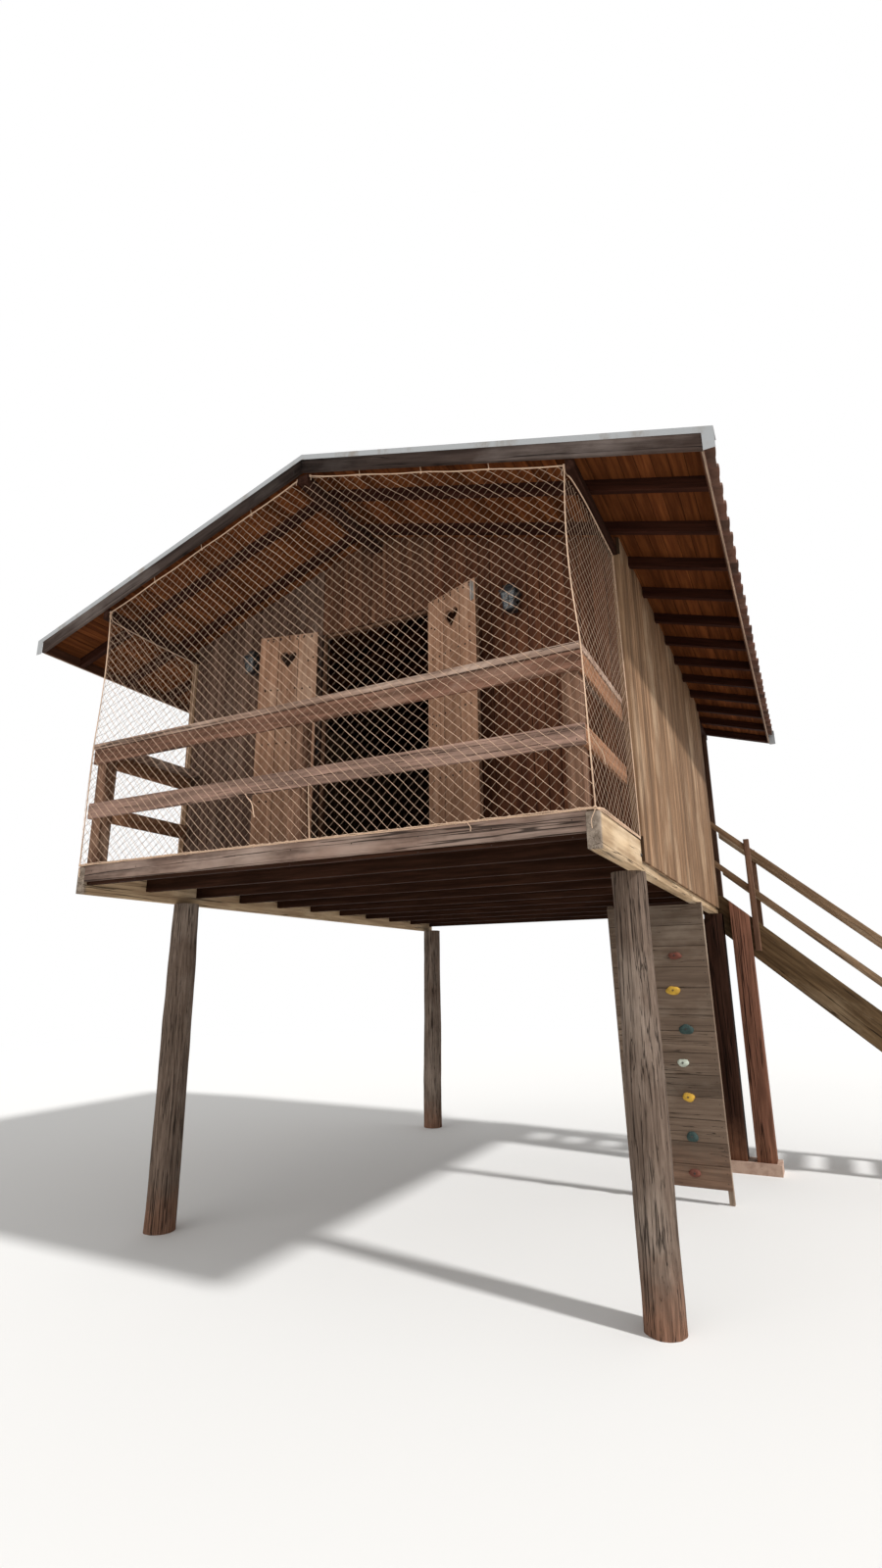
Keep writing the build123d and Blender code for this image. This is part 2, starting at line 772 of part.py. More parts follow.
# Fixed hinge pins, each with a plate screwed to the wall beside the doorway
pins = []
for side in (-1, 1):
    for level in hinge_levels:
        z = leaf_z0 + level * leaf_height
        top = z - hinge_height / 2 - pin_bracket_gap
        low = top - pin_bracket_height
        wall_side = front_wall_y - hinge_plate_thickness
        x0 = side * (pin_x - pin_bracket_half)
        foot = block(x0, side * (pin_x + pin_bracket_reach), wall_side, front_wall_y, low, top)
        arm = block(x0, side * (pin_x + pin_bracket_half), pin_y - pin_bracket_half, wall_side, low, top)
        pin = Cylinder(hinge_pin_radius, hinge_height + 2 * pin_spare)
        pins.append(foot + arm + (Pos(side * pin_x, pin_y, z - pin_drop) * pin))
keep("hinge_pins", group(pins))


# Wall lanterns: back plate, arm, tapered four-sided cage with a cap
def lantern_frame(x):
    z = deck_top + lantern_height
    half = lantern_body_width / 2
    centre_y = front_wall_y - lantern_reach
    plate_width, plate_depth_y, plate_low, plate_high = lantern_plate
    plate_y = front_wall_y - plate_depth_y
    half_plate = plate_width / 2
    half_arm = lantern_arm_side / 2
    arm_top = z + lantern_arm_top
    strut_y = plate_y - lantern_strut_depth
    frame = block(x - half_plate, x + half_plate, plate_y, front_wall_y, z + plate_low, z + plate_high)
    frame = frame + block(x - half_arm, x + half_arm, centre_y, plate_y, arm_top - lantern_arm_side, arm_top)
    frame = frame + block(x - half_arm, x + half_arm, strut_y, plate_y, z + lantern_strut_foot, arm_top)
    cap_side = 2 * (half + lantern_cap_overhang)
    cap_base = Pos(x, centre_y, z + lantern_cap_foot) * Rectangle(cap_side, cap_side)
    cap_head = Pos(x, centre_y, arm_top) * Rectangle(lantern_cap_head, lantern_cap_head)
    frame = frame + loft([cap_base, cap_head])
    base_inset, base_thickness, base_z = lantern_base
    base_side = 2 * (half - base_inset)
    frame = frame + Pos(x, centre_y, z + base_z) * Box(base_side, base_side, base_thickness)
    for sx in (-1, 1):
        for sy in (-1, 1):
            ends = []
            for inset, level in (lantern_bar_foot, lantern_bar_head):
                corner = Pos(x + sx * (half - inset), centre_y + sy * (half - inset), z + level)
                ends.append(corner * Rectangle(lantern_bar, lantern_bar))
            frame = frame + loft(ends)
    return frame


def lantern_glass(x):
    z = deck_top + lantern_height
    half = lantern_body_width / 2
    centre_y = front_wall_y - lantern_reach
    ends = []
    for inset, level in (lantern_pane_foot, lantern_pane_head):
        side = 2 * (half - inset)
        ends.append(Pos(x, centre_y, z + level) * Rectangle(side, side))
    return loft(ends)


keep("lantern_frames", group([lantern_frame(-lantern_offset), lantern_frame(lantern_offset)]))
keep("lantern_glass", group([lantern_glass(-lantern_offset), lantern_glass(lantern_offset)]))


# Safety net borders: six-sided cords drawn tight between their knots
def cord(points, closed=True):
    """Six-sided cord along straight runs."""
    path = Polyline(*points, close=closed)
    section = Plane(path ^ 0) * RegularPolygon(cord_radius, 6)
    return sweep(section, path, transition=Transition.RIGHT)


# Front cord: round the deck edge, the rail corners, the plate ends and the ridge beam
reach = cord_radius + cord_gap
knot_y = (barge_inner_front + rail_front) / 2
knot_x = half_width - plate_width / 2
deck_cord_z = deck_top - cord_deck_drop
eave_cord_z = plate_bottom - reach
right_side = [
    (half_width - cord_corner_inset, -reach, deck_cord_z),
    (cap_x1 + reach, cap_y0 - reach, cap_top),
    (knot_x, knot_y, eave_cord_z),
    (plate_inner_x - reach, knot_y, eave_cord_z),
]
ridge_knot = (0.0, knot_y, ridge_bottom - reach)
left_side = [(-x, y, z) for x, y, z in reversed(right_side)]
front_cord = cord(right_side + [ridge_knot] + left_side)
# Side cord: back under the wall plate, down the wall corner and along the side beam
wall_cord_y = front_wall_y - trim_thickness - reach
beam_cord_x = half_width + reach
side_route = [
    (knot_x, knot_y + 2 * reach, eave_cord_z),
    (knot_x, wall_cord_y, eave_cord_z),
    (beam_cord_x, wall_cord_y, deck_cord_z),
    (beam_cord_x, 0.0, deck_cord_z),
]
side_cord = cord(side_route, closed=False)
keep("net_cords", group([front_cord, side_cord, mirrored(side_cord)]))

# Climbing panel of horizontal planks under the right side, leaning out at the foot
panel_x1 = half_width + panel_proud
panel_x0 = panel_x1 - panel_width
panel_lean = (panel_foot_y - panel_head_y) / beam_bottom


def panel_y(z):
    """Front face of the panel at a height."""
    return panel_foot_y - panel_lean * z


def climbing_panel():
    z_top = beam_bottom - panel_head_gap
    count = round((z_top - panel_ground_gap) / panel_plank)
    step = (z_top - panel_ground_gap) / count
    outline = [(panel_y(panel_ground_gap), panel_ground_gap)]
    for joint in range(1, count):
        z = panel_ground_gap + joint * step
        outline.append((panel_y(z - groove_depth), z - groove_depth))
        outline.append((panel_y(z) + groove_depth, z))
        outline.append((panel_y(z + groove_depth), z + groove_depth))
    outline.append((panel_y(z_top), z_top))
    outline.append((panel_y(z_top) + panel_thickness, z_top))
    outline.append((panel_y(panel_ground_gap) + panel_thickness, panel_ground_gap))
    return profile_yz(outline, panel_x0, panel_x1)


keep("climbing_panel", climbing_panel())
legs = []
for x0 in (panel_x0, panel_x1 - panel_leg_width):
    outline = [
        (panel_y(0) + panel_thickness, 0),
        (panel_y(beam_bottom) + panel_thickness, beam_bottom),
        (panel_y(beam_bottom) + panel_thickness + panel_leg_depth, beam_bottom),
        (panel_y(0) + panel_thickness + panel_leg_depth, 0),
    ]
    legs.append(profile_yz(outline, x0, x0 + panel_leg_width))
keep("panel_legs", group(legs))

# Climbing holds bolted through the planks in two staggered columns
hold_heights = (250.0, 560.0, 900.0, 1200.0, 1500.0, 1850.0, 2170.0)
holds = []
for index, z in enumerate(hold_heights):
    sway = hold_sway if index % 2 else -hold_sway
    for column, rise in hold_columns:
        size = hold_size * (0.8 + 0.1 * ((index * 2) % 5))
        hold_z = z + rise
        plane = Plane(
            origin=(panel_x1 - column + sway, panel_y(hold_z), hold_z),
            x_dir=(1, 0, 0),
            z_dir=(0, -cos(atan(panel_lean)), -sin(atan(panel_lean))),
        )
        sections = []
        for share, spread in hold_sections:
            outline = RegularPolygon(spread * size / 2, hold_facets, rotation=20 * index)
            sections.append(plane.offset(share * hold_height) * outline)
        holds.append(loft(sections, ruled=True))
keep("climbing_holds", group(holds))

# Stair from the rear porch down to the right
rise = deck_top / stair_risers
going = rise / tan(radians(stair_pitch))
stair_y1 = porch_y1
stair_y0 = stair_y1 - stair_width
stair_slope = tan(radians(stair_pitch))
stair_top_x = half_width + stair_start


def stringer_z(x, drop=0.0):
    """Upper edge of the stringers at x, or a line a distance square below it."""
    return deck_top - (x - stair_top_x) * stair_slope - drop / cos(radians(stair_pitch))


def stringer(y0):
    foot_x_top = stair_top_x + deck_top / stair_slope
    foot_x_low = stair_top_x + (deck_top - stringer_depth / cos(radians(stair_pitch))) / stair_slope
    outline = [
        (half_width, deck_top - stringer_head_drop),
        (stair_top_x + stringer_head_drop / stair_slope, deck_top - stringer_head_drop),
        (foot_x_top, 0),
        (foot_x_low, 0),
        (half_width, stringer_z(half_width, stringer_depth)),
    ]
    return profile_xz(outline, y0, y0 + stringer_thickness)


near_stringer = stringer(stair_y0)
far_stringer = stringer(stair_y1 - stringer_thickness)
keep("stair_stringers", group([near_stringer, far_stringer]))
treads = []
for index in range(1, stair_risers):
    tread_top = deck_top - index * rise
    nosing_x = half_width + index * going + tread_nosing
    y0 = stair_y0 + stringer_thickness
    y1 = stair_y1 - stringer_thickness
    treads.append(block(nosing_x - tread_depth, nosing_x, y0, y1, tread_top - tread_thickness, tread_top))
keep("stair_treads", group(treads))

# Stair handrails: two rails a side on newels fixed to the stringers' outer faces
newels = []
stair_rails = []
newel_places = [stair_top_x + along for along in stair_newels_along]
for side, face_y in ((-1, stair_y0), (1, stair_y1)):
    for newel_x in newel_places:
        y1 = face_y + side * stair_newel_side
        z0 = stringer_z(newel_x + stair_newel_side, stringer_depth * stair_newel_foot_share)
        z1 = stringer_z(newel_x) + stair_rail_heights[1] + stair_newel_head
        newels.append(block(newel_x, newel_x + stair_newel_side, face_y, y1, max(z0, 0.0), z1))
    for height in stair_rail_heights:
        x0 = half_width + cladding_thickness
        x1 = newel_places[-1] + stair_rail_end
        outline = [
            (x0, stringer_z(x0) + height),
            (x1, stringer_z(x1) + height),
            (x1, stringer_z(x1) + height - stair_rail_depth),
            (x0, stringer_z(x0) + height - stair_rail_depth),
        ]
        y0 = face_y
        y1 = face_y - side * stair_rail_thickness
        stair_rails.append(profile_xz(outline, min(y0, y1), max(y0, y1)))
keep("stair_newels", group(newels))
keep("stair_rails", group(stair_rails))

# Square posts: one under the side beam, one bolted to the near stringer, on one footing
corner_post_x = half_width - side_beam_thickness / 2
stair_post_x = corner_post_x + square_post_side + stair_post_gap
half_post = square_post_side / 2
post_y0 = stair_y0 - square_post_side
post_y1 = stair_y0
corner_x0 = corner_post_x - half_post
corner_x1 = corner_post_x + half_post
corner_post = block(corner_x0, corner_x1, post_y0, post_y1, footing_height, beam_bottom)
stair_x0 = stair_post_x - half_post
stair_x1 = stair_post_x + half_post
stair_post_outline = [
    (stair_x0, footing_height),
    (stair_x1, footing_height),
    (stair_x1, stringer_z(stair_x1)),
    (stair_x0, stringer_z(stair_x0)),
]
stair_post = profile_xz(stair_post_outline, post_y0, post_y1)
keep("square_posts", group([corner_post, stair_post]))
footing_x0 = corner_x0 - footing_margin
footing_x1 = stair_x1 + footing_margin
footing_y0 = post_y0 - footing_margin
footing_y1 = post_y1 + footing_margin
keep("post_footing", block(footing_x0, footing_x1, footing_y0, footing_y1, 0, footing_height))

# Origin: middle of the outline, on the ground
boxes = [shape.bounding_box() for shape in nodes.values()]
middle_x = (min(box.min.X for box in boxes) + max(box.max.X for box in boxes)) / 2
middle_y = (min(box.min.Y for box in boxes) + max(box.max.Y for box in boxes)) / 2
shift = Pos(-middle_x, -middle_y, 0)
os.makedirs("parts", exist_ok=True)
for name, shape in nodes.items():
    solids = [shift * solid for solid in shape.solids()]
    export_step(solids[0] if len(solids) == 1 else Compound(solids), "parts/" + name + ".step")
print("origin shift", -middle_x, -middle_y)
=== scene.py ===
"""Raised timber cabin with a netted balcony: finishes, fine pieces, light and camera."""

import json
import logging
import random
from contextlib import contextmanager
from dataclasses import dataclass, field, replace
from enum import Enum
from math import asin, atan, cos, pi, radians, sin, tan
from typing import Callable, Iterator, Optional, Sequence

import bmesh
import bpy
from mathutils import Matrix, Vector

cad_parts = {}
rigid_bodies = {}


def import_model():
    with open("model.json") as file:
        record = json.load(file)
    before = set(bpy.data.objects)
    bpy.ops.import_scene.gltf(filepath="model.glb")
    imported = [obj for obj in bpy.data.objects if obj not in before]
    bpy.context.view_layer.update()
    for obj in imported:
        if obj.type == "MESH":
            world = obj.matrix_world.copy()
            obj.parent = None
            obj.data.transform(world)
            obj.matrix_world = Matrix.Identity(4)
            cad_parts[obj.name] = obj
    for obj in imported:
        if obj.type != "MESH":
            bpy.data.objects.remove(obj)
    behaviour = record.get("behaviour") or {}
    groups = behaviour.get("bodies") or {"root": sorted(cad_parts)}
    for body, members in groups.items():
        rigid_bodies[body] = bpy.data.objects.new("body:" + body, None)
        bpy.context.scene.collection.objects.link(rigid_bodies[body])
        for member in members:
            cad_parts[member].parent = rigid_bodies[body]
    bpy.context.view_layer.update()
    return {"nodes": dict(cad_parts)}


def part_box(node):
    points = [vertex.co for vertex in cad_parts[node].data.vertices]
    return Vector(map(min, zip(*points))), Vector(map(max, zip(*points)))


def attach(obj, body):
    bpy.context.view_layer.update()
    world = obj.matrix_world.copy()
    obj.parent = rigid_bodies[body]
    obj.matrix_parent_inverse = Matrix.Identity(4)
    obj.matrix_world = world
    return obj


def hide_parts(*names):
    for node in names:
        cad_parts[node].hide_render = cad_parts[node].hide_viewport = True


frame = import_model()

log = logging.getLogger("cabin")
mesh_ops = bpy.ops.mesh
Triple = tuple[float, float, float]
Piece = bpy.types.Object
NodeTree = bpy.types.NodeTree
Material = bpy.types.Material
shift, rotate = Matrix.Translation, Matrix.Rotation


# Places shared by the pieces, in metres


def house_origin() -> Vector:
    """Find the middle of the platform's front edge, on the ground."""
    low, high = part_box("deck_boards")
    front_low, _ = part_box("end_boards")
    return Vector(((low[0] + high[0]) / 2, front_low[1], 0.0))


CABIN = "cabin"
ORIGIN = house_origin()
DECK_TOP = 2.9
PITCH = atan(886.0 / 2871.0)
RIDGE_UNDERSIDE = 2.8725
STAIR_PITCH = radians(41.7)
HINGE_X, HINGE_Y = 0.568, 1.022
LEAF_WIDTH = 0.556
PANEL_FOOT, PANEL_LEAN = 3.690, 0.09006
PLANKS, PLANK_START, PLANK_WIDTH = 13, 0.13, 2.52 / 13
NET_WALL = 1.0297
CORD_FOOT, CORD_CAP, CORD_KNOT = 2.885, 3.900, 5.104
ROOT = 2 ** 0.5
HALF_ROOT = 0.5 ** 0.5
FLAT = (0.0, 0.0, 0.0)
WHOLE = (1.0, 1.0, 1.0)
RIGHTWARD = (1.0, 0.0, 0.0)
REARWARD = (0.0, 1.0, 0.0)
UP = (0.0, 0.0, 1.0)
DOWN = (0.0, 0.0, -1.0)


def at(x: float, y: float, z: float) -> Vector:
    """Turn cabin coordinates (right of the centre, behind the front edge, above ground) into the row frame."""
    return ORIGIN + Vector((x, y, z))


def roof_height(x: float) -> float:
    """Height of the rafters' underside beside the centre line."""
    return DECK_TOP + RIDGE_UNDERSIDE - abs(x) * tan(PITCH)


# Modelling helpers


def activate(*pieces: Piece) -> None:
    """Select only the given pieces, in object mode, with the first one active."""
    if bpy.context.object is not None and bpy.context.object.mode != "OBJECT":
        bpy.ops.object.mode_set(mode="OBJECT")
    bpy.ops.object.select_all(action="DESELECT")
    for piece in pieces:
        piece.select_set(True)
    if pieces:
        bpy.context.view_layer.objects.active = pieces[0]


@contextmanager
def editing(piece: Piece, mode: str = "FACE", whole: bool = False) -> Iterator[bmesh.types.BMesh]:
    """Edit one mesh.

    Args:
        piece: The mesh object.
        mode: Selection mode, VERT, EDGE or FACE.
        whole: Whether everything starts selected, not nothing.

    Yields:
        The edit mesh, for selecting by place or normal.
    """
    activate(piece)
    bpy.ops.object.mode_set(mode="EDIT")
    mesh_ops.select_mode(type=mode)
    mesh_ops.select_all(action="SELECT" if whole else "DESELECT")
    yield bmesh.from_edit_mesh(piece.data)
    bpy.ops.object.mode_set(mode="OBJECT")


def choose(mesh: bmesh.types.BMesh, items: Sequence, test: Callable) -> None:
    """Select the items of the edited mesh that pass a test.

    Args:
        mesh: The edit mesh.
        items: Its faces, edges or vertices.
        test: Says whether an item is wanted.
    """
    for item in items:
        item.select_set(bool(test(item)))
    mesh.select_flush_mode()
    bmesh.update_edit_mesh(bpy.context.object.data)


def extrude(x: float, y: float, z: float) -> None:
    """Extrude the selection by a step."""
    mesh_ops.extrude_region_move(TRANSFORM_OT_translate={"value": (x, y, z)})


def bisect(piece: Piece, point: Sequence[float], normal: Sequence[float], **options: bool) -> None:
    """Cut a whole piece along a plane.

    Args:
        piece: The mesh object.
        point: A point of the plane.
        normal: The way the plane faces.
        options: Which side goes, and whether the cut is filled.
    """
    with editing(piece, whole=True):
        mesh_ops.bisect(plane_co=point, plane_no=normal, **options)


def settle(piece: Piece, turn: Triple = FLAT, place: Sequence[float] = FLAT, scale: Triple = WHOLE) -> Piece:
    """Turn, move and size a piece within its mesh.

    Args:
        piece: A piece at the origin.
        turn: Its turn about X, Y and Z.
        place: Its place.
        scale: Its size.

    Returns:
        The same object.
    """
    piece.rotation_euler, piece.location, piece.scale = turn, place, scale
    return applied(piece)


def applied(piece: Piece) -> Piece:
    """Move a piece's own place, turn and size into its mesh and return it."""
    activate(piece)
    bpy.ops.object.transform_apply(location=True, rotation=True, scale=True)
    return piece


def added(operator: Callable, **options: object) -> Piece:
    """Add a primitive with an operator and return it."""
    activate()
    operator(**options)
    return bpy.context.object


def linked(name: str, data: Optional[bpy.types.ID]) -> Piece:
    """Put a new object into the scene and return it."""
    piece = bpy.data.objects.new(name, data)
    bpy.context.scene.collection.objects.link(piece)
    return piece


def modify(piece: Piece, kind: str, **settings: object) -> None:
    """Give a piece a modifier with its settings and apply it."""
    modifier = piece.modifiers.new(kind.lower(), kind)
    for key, value in settings.items():
        setattr(modifier, key, value)
    activate(piece)
    bpy.ops.object.modifier_apply(modifier=modifier.name)


def ruffle(piece: Piece, size: float, place: Triple, stretch: Triple, detail: int, **settings: object) -> None:
    """Displace a piece's points by a cloud noise.

    Args:
        piece: The mesh object.
        size: Size of the noise's lumps.
        place: Where the noise starts.
        stretch: Its stretch along the axes.
        detail: Its depth of detail.
        settings: The modifier's other settings.
    """
    noise = bpy.data.textures.new("noise", "CLOUDS")
    noise.noise_scale, noise.noise_depth = size, detail
    guide = linked("guide", None)
    guide.location, guide.scale = place, stretch
    bpy.context.view_layer.update()
    modify(piece, "DISPLACE", texture=noise, texture_coords="OBJECT", texture_coords_object=guide, **settings)
    remove(guide)


def copy_of(piece: Piece, name: str) -> Piece:
    """Copy a piece with a mesh of its own.

    Args:
        piece: The object to copy.
        name: Name of the copy.

    Returns:
        The copy.
    """
    twin = piece.copy()
    twin.data = piece.data.copy()
    twin.name = name
    bpy.context.scene.collection.objects.link(twin)
    return twin


def remove(piece: Piece) -> None:
    """Delete a pattern that is no longer needed."""
    bpy.data.objects.remove(piece, do_unlink=True)


def joined(pieces: Sequence[Piece], name: str) -> Piece:
    """Join meshes into one piece.

    Args:
        pieces: The objects to join.
        name: Name of the result.

    Returns:
        The joined object, with its place in its mesh.
    """
    activate(*pieces)
    bpy.ops.object.join()
    whole = bpy.context.view_layer.objects.active
    whole.name = name
    return applied(whole)


def smooth(piece: Piece, angle: float = 35.0) -> Piece:
    """Shade a piece smooth across edges flatter than an angle in degrees, and return it."""
    activate(piece)
    bpy.ops.object.shade_smooth_by_angle(angle=radians(angle))
    return piece


def outward(piece: Piece) -> None:
    """Turn the faces of a closed piece outwards."""
    with editing(piece, whole=True):
        mesh_ops.normals_make_consistent(inside=False)


# Shader building


class Tree:
    """Adds and links the nodes of one node tree."""

    def __init__(self, tree: NodeTree) -> None:
        """Keep the tree and start at its left edge."""
        self.tree = tree
        self.column = 0

    def node(self, kind: str, **values: object) -> bpy.types.Node:
        """Add a shader node.

        Args:
            kind: Node type without its ShaderNode prefix.
            values: Properties of the node.

        Returns:
            The new node.
        """
        node = self.tree.nodes.new("ShaderNode" + kind)
        self.column += 180
        node.location = (self.column, 0)
        for key, value in values.items():
            setattr(node, key, value)
        return node

    def feed(self, socket: bpy.types.NodeSocket, value: object) -> None:
        """Link a socket to an output, or set its value."""
        if isinstance(value, bpy.types.NodeSocket):
            self.tree.links.new(value, socket)
        elif isinstance(value, (tuple, list)) and len(value) == 3 and len(socket.default_value) == 4:
            socket.default_value = (*value, 1.0)
        else:
            socket.default_value = value

    def feed_all(self, node: bpy.types.Node, *values: object, **named: object) -> bpy.types.Node:
        """Feed a node's inputs in order and by name (underscores for spaces), and return it."""
        for socket, value in zip(node.inputs, values):
            self.feed(socket, value)
        for label, value in named.items():
            self.feed(node.inputs[label.replace("_", " ")], value)
        return node

    def math(self, operation: str, first: object, second: object = 0.0) -> object:
        """Combine two numbers and return the result's socket."""
        return self.feed_all(self.node("Math", operation=operation), first, second).outputs[0]

    def vector(self, operation: str, first: object, second: object) -> object:
        """Combine a vector with another, or with a scale, and return the result's socket."""
        node = self.feed_all(self.node("VectorMath", operation=operation), first)
        self.feed(node.inputs["Scale" if operation == "SCALE" else 1], second)
        return node.outputs["Value" if operation == "DOT_PRODUCT" else "Vector"]

    def range(
        self, value: object, low: object, high: object, out_low: float = 0.0, out_high: float = 1.0
    ) -> object:
        """Map a number smoothly from one range to another and return the result's socket."""
        node = self.node("MapRange", interpolation_type="SMOOTHSTEP")
        return self.feed_all(node, value, low, high, out_low, out_high).outputs[0]

    def mix(self, factor: object, first: object, second: object) -> object:
        """Blend two colours and return the result's socket."""
        node = self.node("Mix", data_type="RGBA")
        for index, value in ((0, factor), (6, first), (7, second)):
            self.feed(node.inputs[index], value)
        return node.outputs[2]

    def noise(
        self, place: object, scale: float, detail: float, rough: float, stretch: Optional[Triple] = None
    ) -> object:
        """Add a noise texture.

        Args:
            place: Its coordinates.
            scale: Its fineness.
            detail: Its depth of detail.
            rough: How strong the fine detail is.
            stretch: Scale of the coordinates along each axis, if any.

        Returns:
            The socket of its factor.
        """
        if stretch is not None:
            place = self.vector("MULTIPLY", place, stretch)
        node = self.feed_all(self.node("TexNoise"), Vector=place, Scale=scale, Detail=detail, Roughness=rough)
        return node.outputs["Fac"]

    def group(self, tree: NodeTree, **values: object) -> object:
        """Place a node group with its own values and return its outputs."""
        return self.feed_all(self.node("Group", node_tree=tree), **values).outputs

    def finished(self, **outputs: object) -> NodeTree:
        """Give a node group its number outputs and return it."""
        for label in outputs:
            self.tree.interface.new_socket(name=label, in_out="OUTPUT", socket_type="NodeSocketFloat")
        self.feed_all(self.tree.nodes.new("NodeGroupOutput"), **outputs)
        return self.tree

    def surface(
        self, colour: object, rough: object, height: object = None, relief: float = 0.0, **values: float
    ) -> None:
        """Set the main shader.

        Args:
            colour: Its tone.
            rough: Its roughness.
            height: What its bumps follow, if it has any.
            relief: Their height in metres.
            values: Its other inputs, with underscores for spaces.
        """
        shader = self.tree.nodes["Principled BSDF"]
        if height is not None:
            bump = self.feed_all(self.node("Bump"), Distance=relief, Height=height)
            self.feed(shader.inputs["Normal"], bump.outputs["Normal"])
        self.feed_all(shader, Base_Color=colour, Roughness=rough, **values)


def new_group(name: str, **inputs: Optional[float]) -> tuple[Tree, object]:
    """Start a shader node group.

    Args:
        name: The group's name.
        inputs: Default of each number, and None for each vector.

    Returns:
        The tree helper and the group's inputs.
    """
    group = bpy.data.node_groups.new(name, "ShaderNodeTree")
    for label, default in inputs.items():
        kind = "NodeSocketVector" if default is None else "NodeSocketFloat"
        socket = group.interface.new_socket(name=label, in_out="INPUT", socket_type=kind)
        if default is not None:
            socket.default_value = default
    return Tree(group), group.nodes.new("NodeGroupInput").outputs


def grain_group() -> NodeTree:
    """Build wood grain along Z: streaks, growth rings, pores and a height."""
    tree, given = new_group("wood_grain", Vector=None, Shift=0.0, Fineness=1.0)
    drift = tree.vector("SCALE", (7.3, 3.1, 11.7), given["Shift"])
    sized = tree.vector("SCALE", tree.vector("ADD", given["Vector"], drift), given["Fineness"])
    streaks = tree.noise(sized, 1.0, 6.0, 0.62, (26.0, 26.0, 1.6))
    warp = tree.noise(sized, 1.0, 2.0, 0.5, (5.0, 5.0, 0.55))
    rings = tree.math("ABSOLUTE", tree.math("SINE", tree.math("MULTIPLY", warp, 34.0)))
    pores = tree.noise(sized, 1.0, 2.0, 0.6, (210.0, 210.0, 7.0))
    height = tree.math("ADD", tree.math("MULTIPLY", streaks, 0.55), tree.math("MULTIPLY", pores, 0.35))
    height = tree.math("ADD", height, tree.math("MULTIPLY", rings, 0.10))
    return tree.finished(Streaks=streaks, Rings=rings, Pores=pores, Height=height)


def boards_group() -> NodeTree:
    """Build a row of boards: a tone for each board and the dark line at its joints."""
    tree, given = new_group("board_row", Vector=None, Across=None, Start=0.0, Step=0.1, Edge=0.055)
    run = tree.vector("DOT_PRODUCT", given["Vector"], given["Across"])
    place = tree.math("DIVIDE", tree.math("SUBTRACT", run, given["Start"]), given["Step"])
    part = tree.math("FRACT", place)
    tone = tree.feed_all(tree.node("TexWhiteNoise", noise_dimensions="1D"), W=tree.math("FLOOR", place))
    near = tree.math("MINIMUM", part, tree.math("SUBTRACT", 1.0, part))
    joint = tree.math("SUBTRACT", 1.0, tree.range(near, 0.0, given["Edge"]))
    return tree.finished(Tone=tone.outputs["Value"], Joint=joint)


def weather_group() -> NodeTree:
    """Build patches that sun and rain have bleached, and smaller stains."""
    tree, given = new_group("weathering", Vector=None, Amount=0.5)
    stretched = tree.vector("MULTIPLY", given["Vector"], (1.0, 1.0, 0.45))
    broad = tree.noise(stretched, 2.3, 5.0, 0.6)
    threshold = tree.math("SUBTRACT", 0.78, tree.math("MULTIPLY", given["Amount"], 0.5))
    bleached = tree.math("MULTIPLY", tree.math("SUBTRACT", broad, threshold), 4.5)
    bleached = tree.math("MINIMUM", tree.math("MAXIMUM", bleached, 0.0), 1.0)
    fine = tree.noise(tree.vector("ADD", stretched, (4.1, 9.2, 1.7)), 9.0, 6.0, 0.65)
    return tree.finished(Bleached=bleached, Stained=tree.range(fine, 0.55, 0.75))


def cracks_group() -> NodeTree:
    """Build long drying cracks along Z."""
    tree, given = new_group("drying_cracks", Vector=None, Width=0.02)
    coarse = tree.noise(given["Vector"], 1.0, 3.0, 0.55, (17.0, 17.0, 0.36))
    where = tree.noise(given["Vector"], 1.0, 2.0, 0.5, (3.0, 3.0, 0.5))
    width = tree.math("MULTIPLY", given["Width"], tree.range(where, 0.35, 0.65, 0.15, 1.6))
    off = tree.math("ABSOLUTE", tree.math("SUBTRACT", coarse, 0.5))
    share = tree.math("DIVIDE", off, tree.math("MAXIMUM", width, 0.0005))
    return tree.finished(Crack=tree.math("SUBTRACT", 1.0, tree.range(share, 0.3, 1.0)))


def fade_group() -> NodeTree:
    """Build a mask from 0 at Start to 1 at End along one direction, with an uneven border."""
    tree, given = new_group("uneven_fade", Vector=None, Axis=None, Start=0.0, End=1.0)
    run = tree.vector("DOT_PRODUCT", given["Vector"], given["Axis"])
    uneven = tree.math("SUBTRACT", tree.noise(given["Vector"], 7.0, 4.0, 0.6), 0.5)
    spread = tree.math("SUBTRACT", given["End"], given["Start"])
    run = tree.math("ADD", run, tree.math("MULTIPLY", uneven, spread))
    return tree.finished(Mask=tree.range(run, given["Start"], given["End"]))


GRAIN = grain_group()
BOARDS = boards_group()
WEATHER = weather_group()
CRACKS = cracks_group()
FADES = fade_group()


class Grain(Enum):
    """Direction in which a piece's grain runs, as the turn that brings it to Z."""

    UP = (0.0, 0.0, 0.0)
    ALONG_X = (0.0, pi / 2, 0.0)
    ALONG_Y = (pi / 2, 0.0, 0.0)
    SLOPE = (0.0, pi / 2 - PITCH, 0.0)
    STAIR = (0.0, pi / 2 - STAIR_PITCH, 0.0)


@dataclass(frozen=True)
class Row:
    """A row of boards: direction across them, where it starts and the board's width."""

    across: Triple
    start: float
    step: float
    joint: float = 0.6
    edge: float = 0.055


@dataclass(frozen=True)
class Fade:
    """A tone that comes in along one axis, such as soil splashed on a foot, or a painted highlight or shadow
    along an edge.
    """

    axis: Triple
    start: float
    end: float
    colour: Triple
    strength: float = 0.6


def shaded(colour: Triple, share: float) -> Triple:
    """Darken a colour to a share of itself."""
    return tuple(share * part for part in colour)


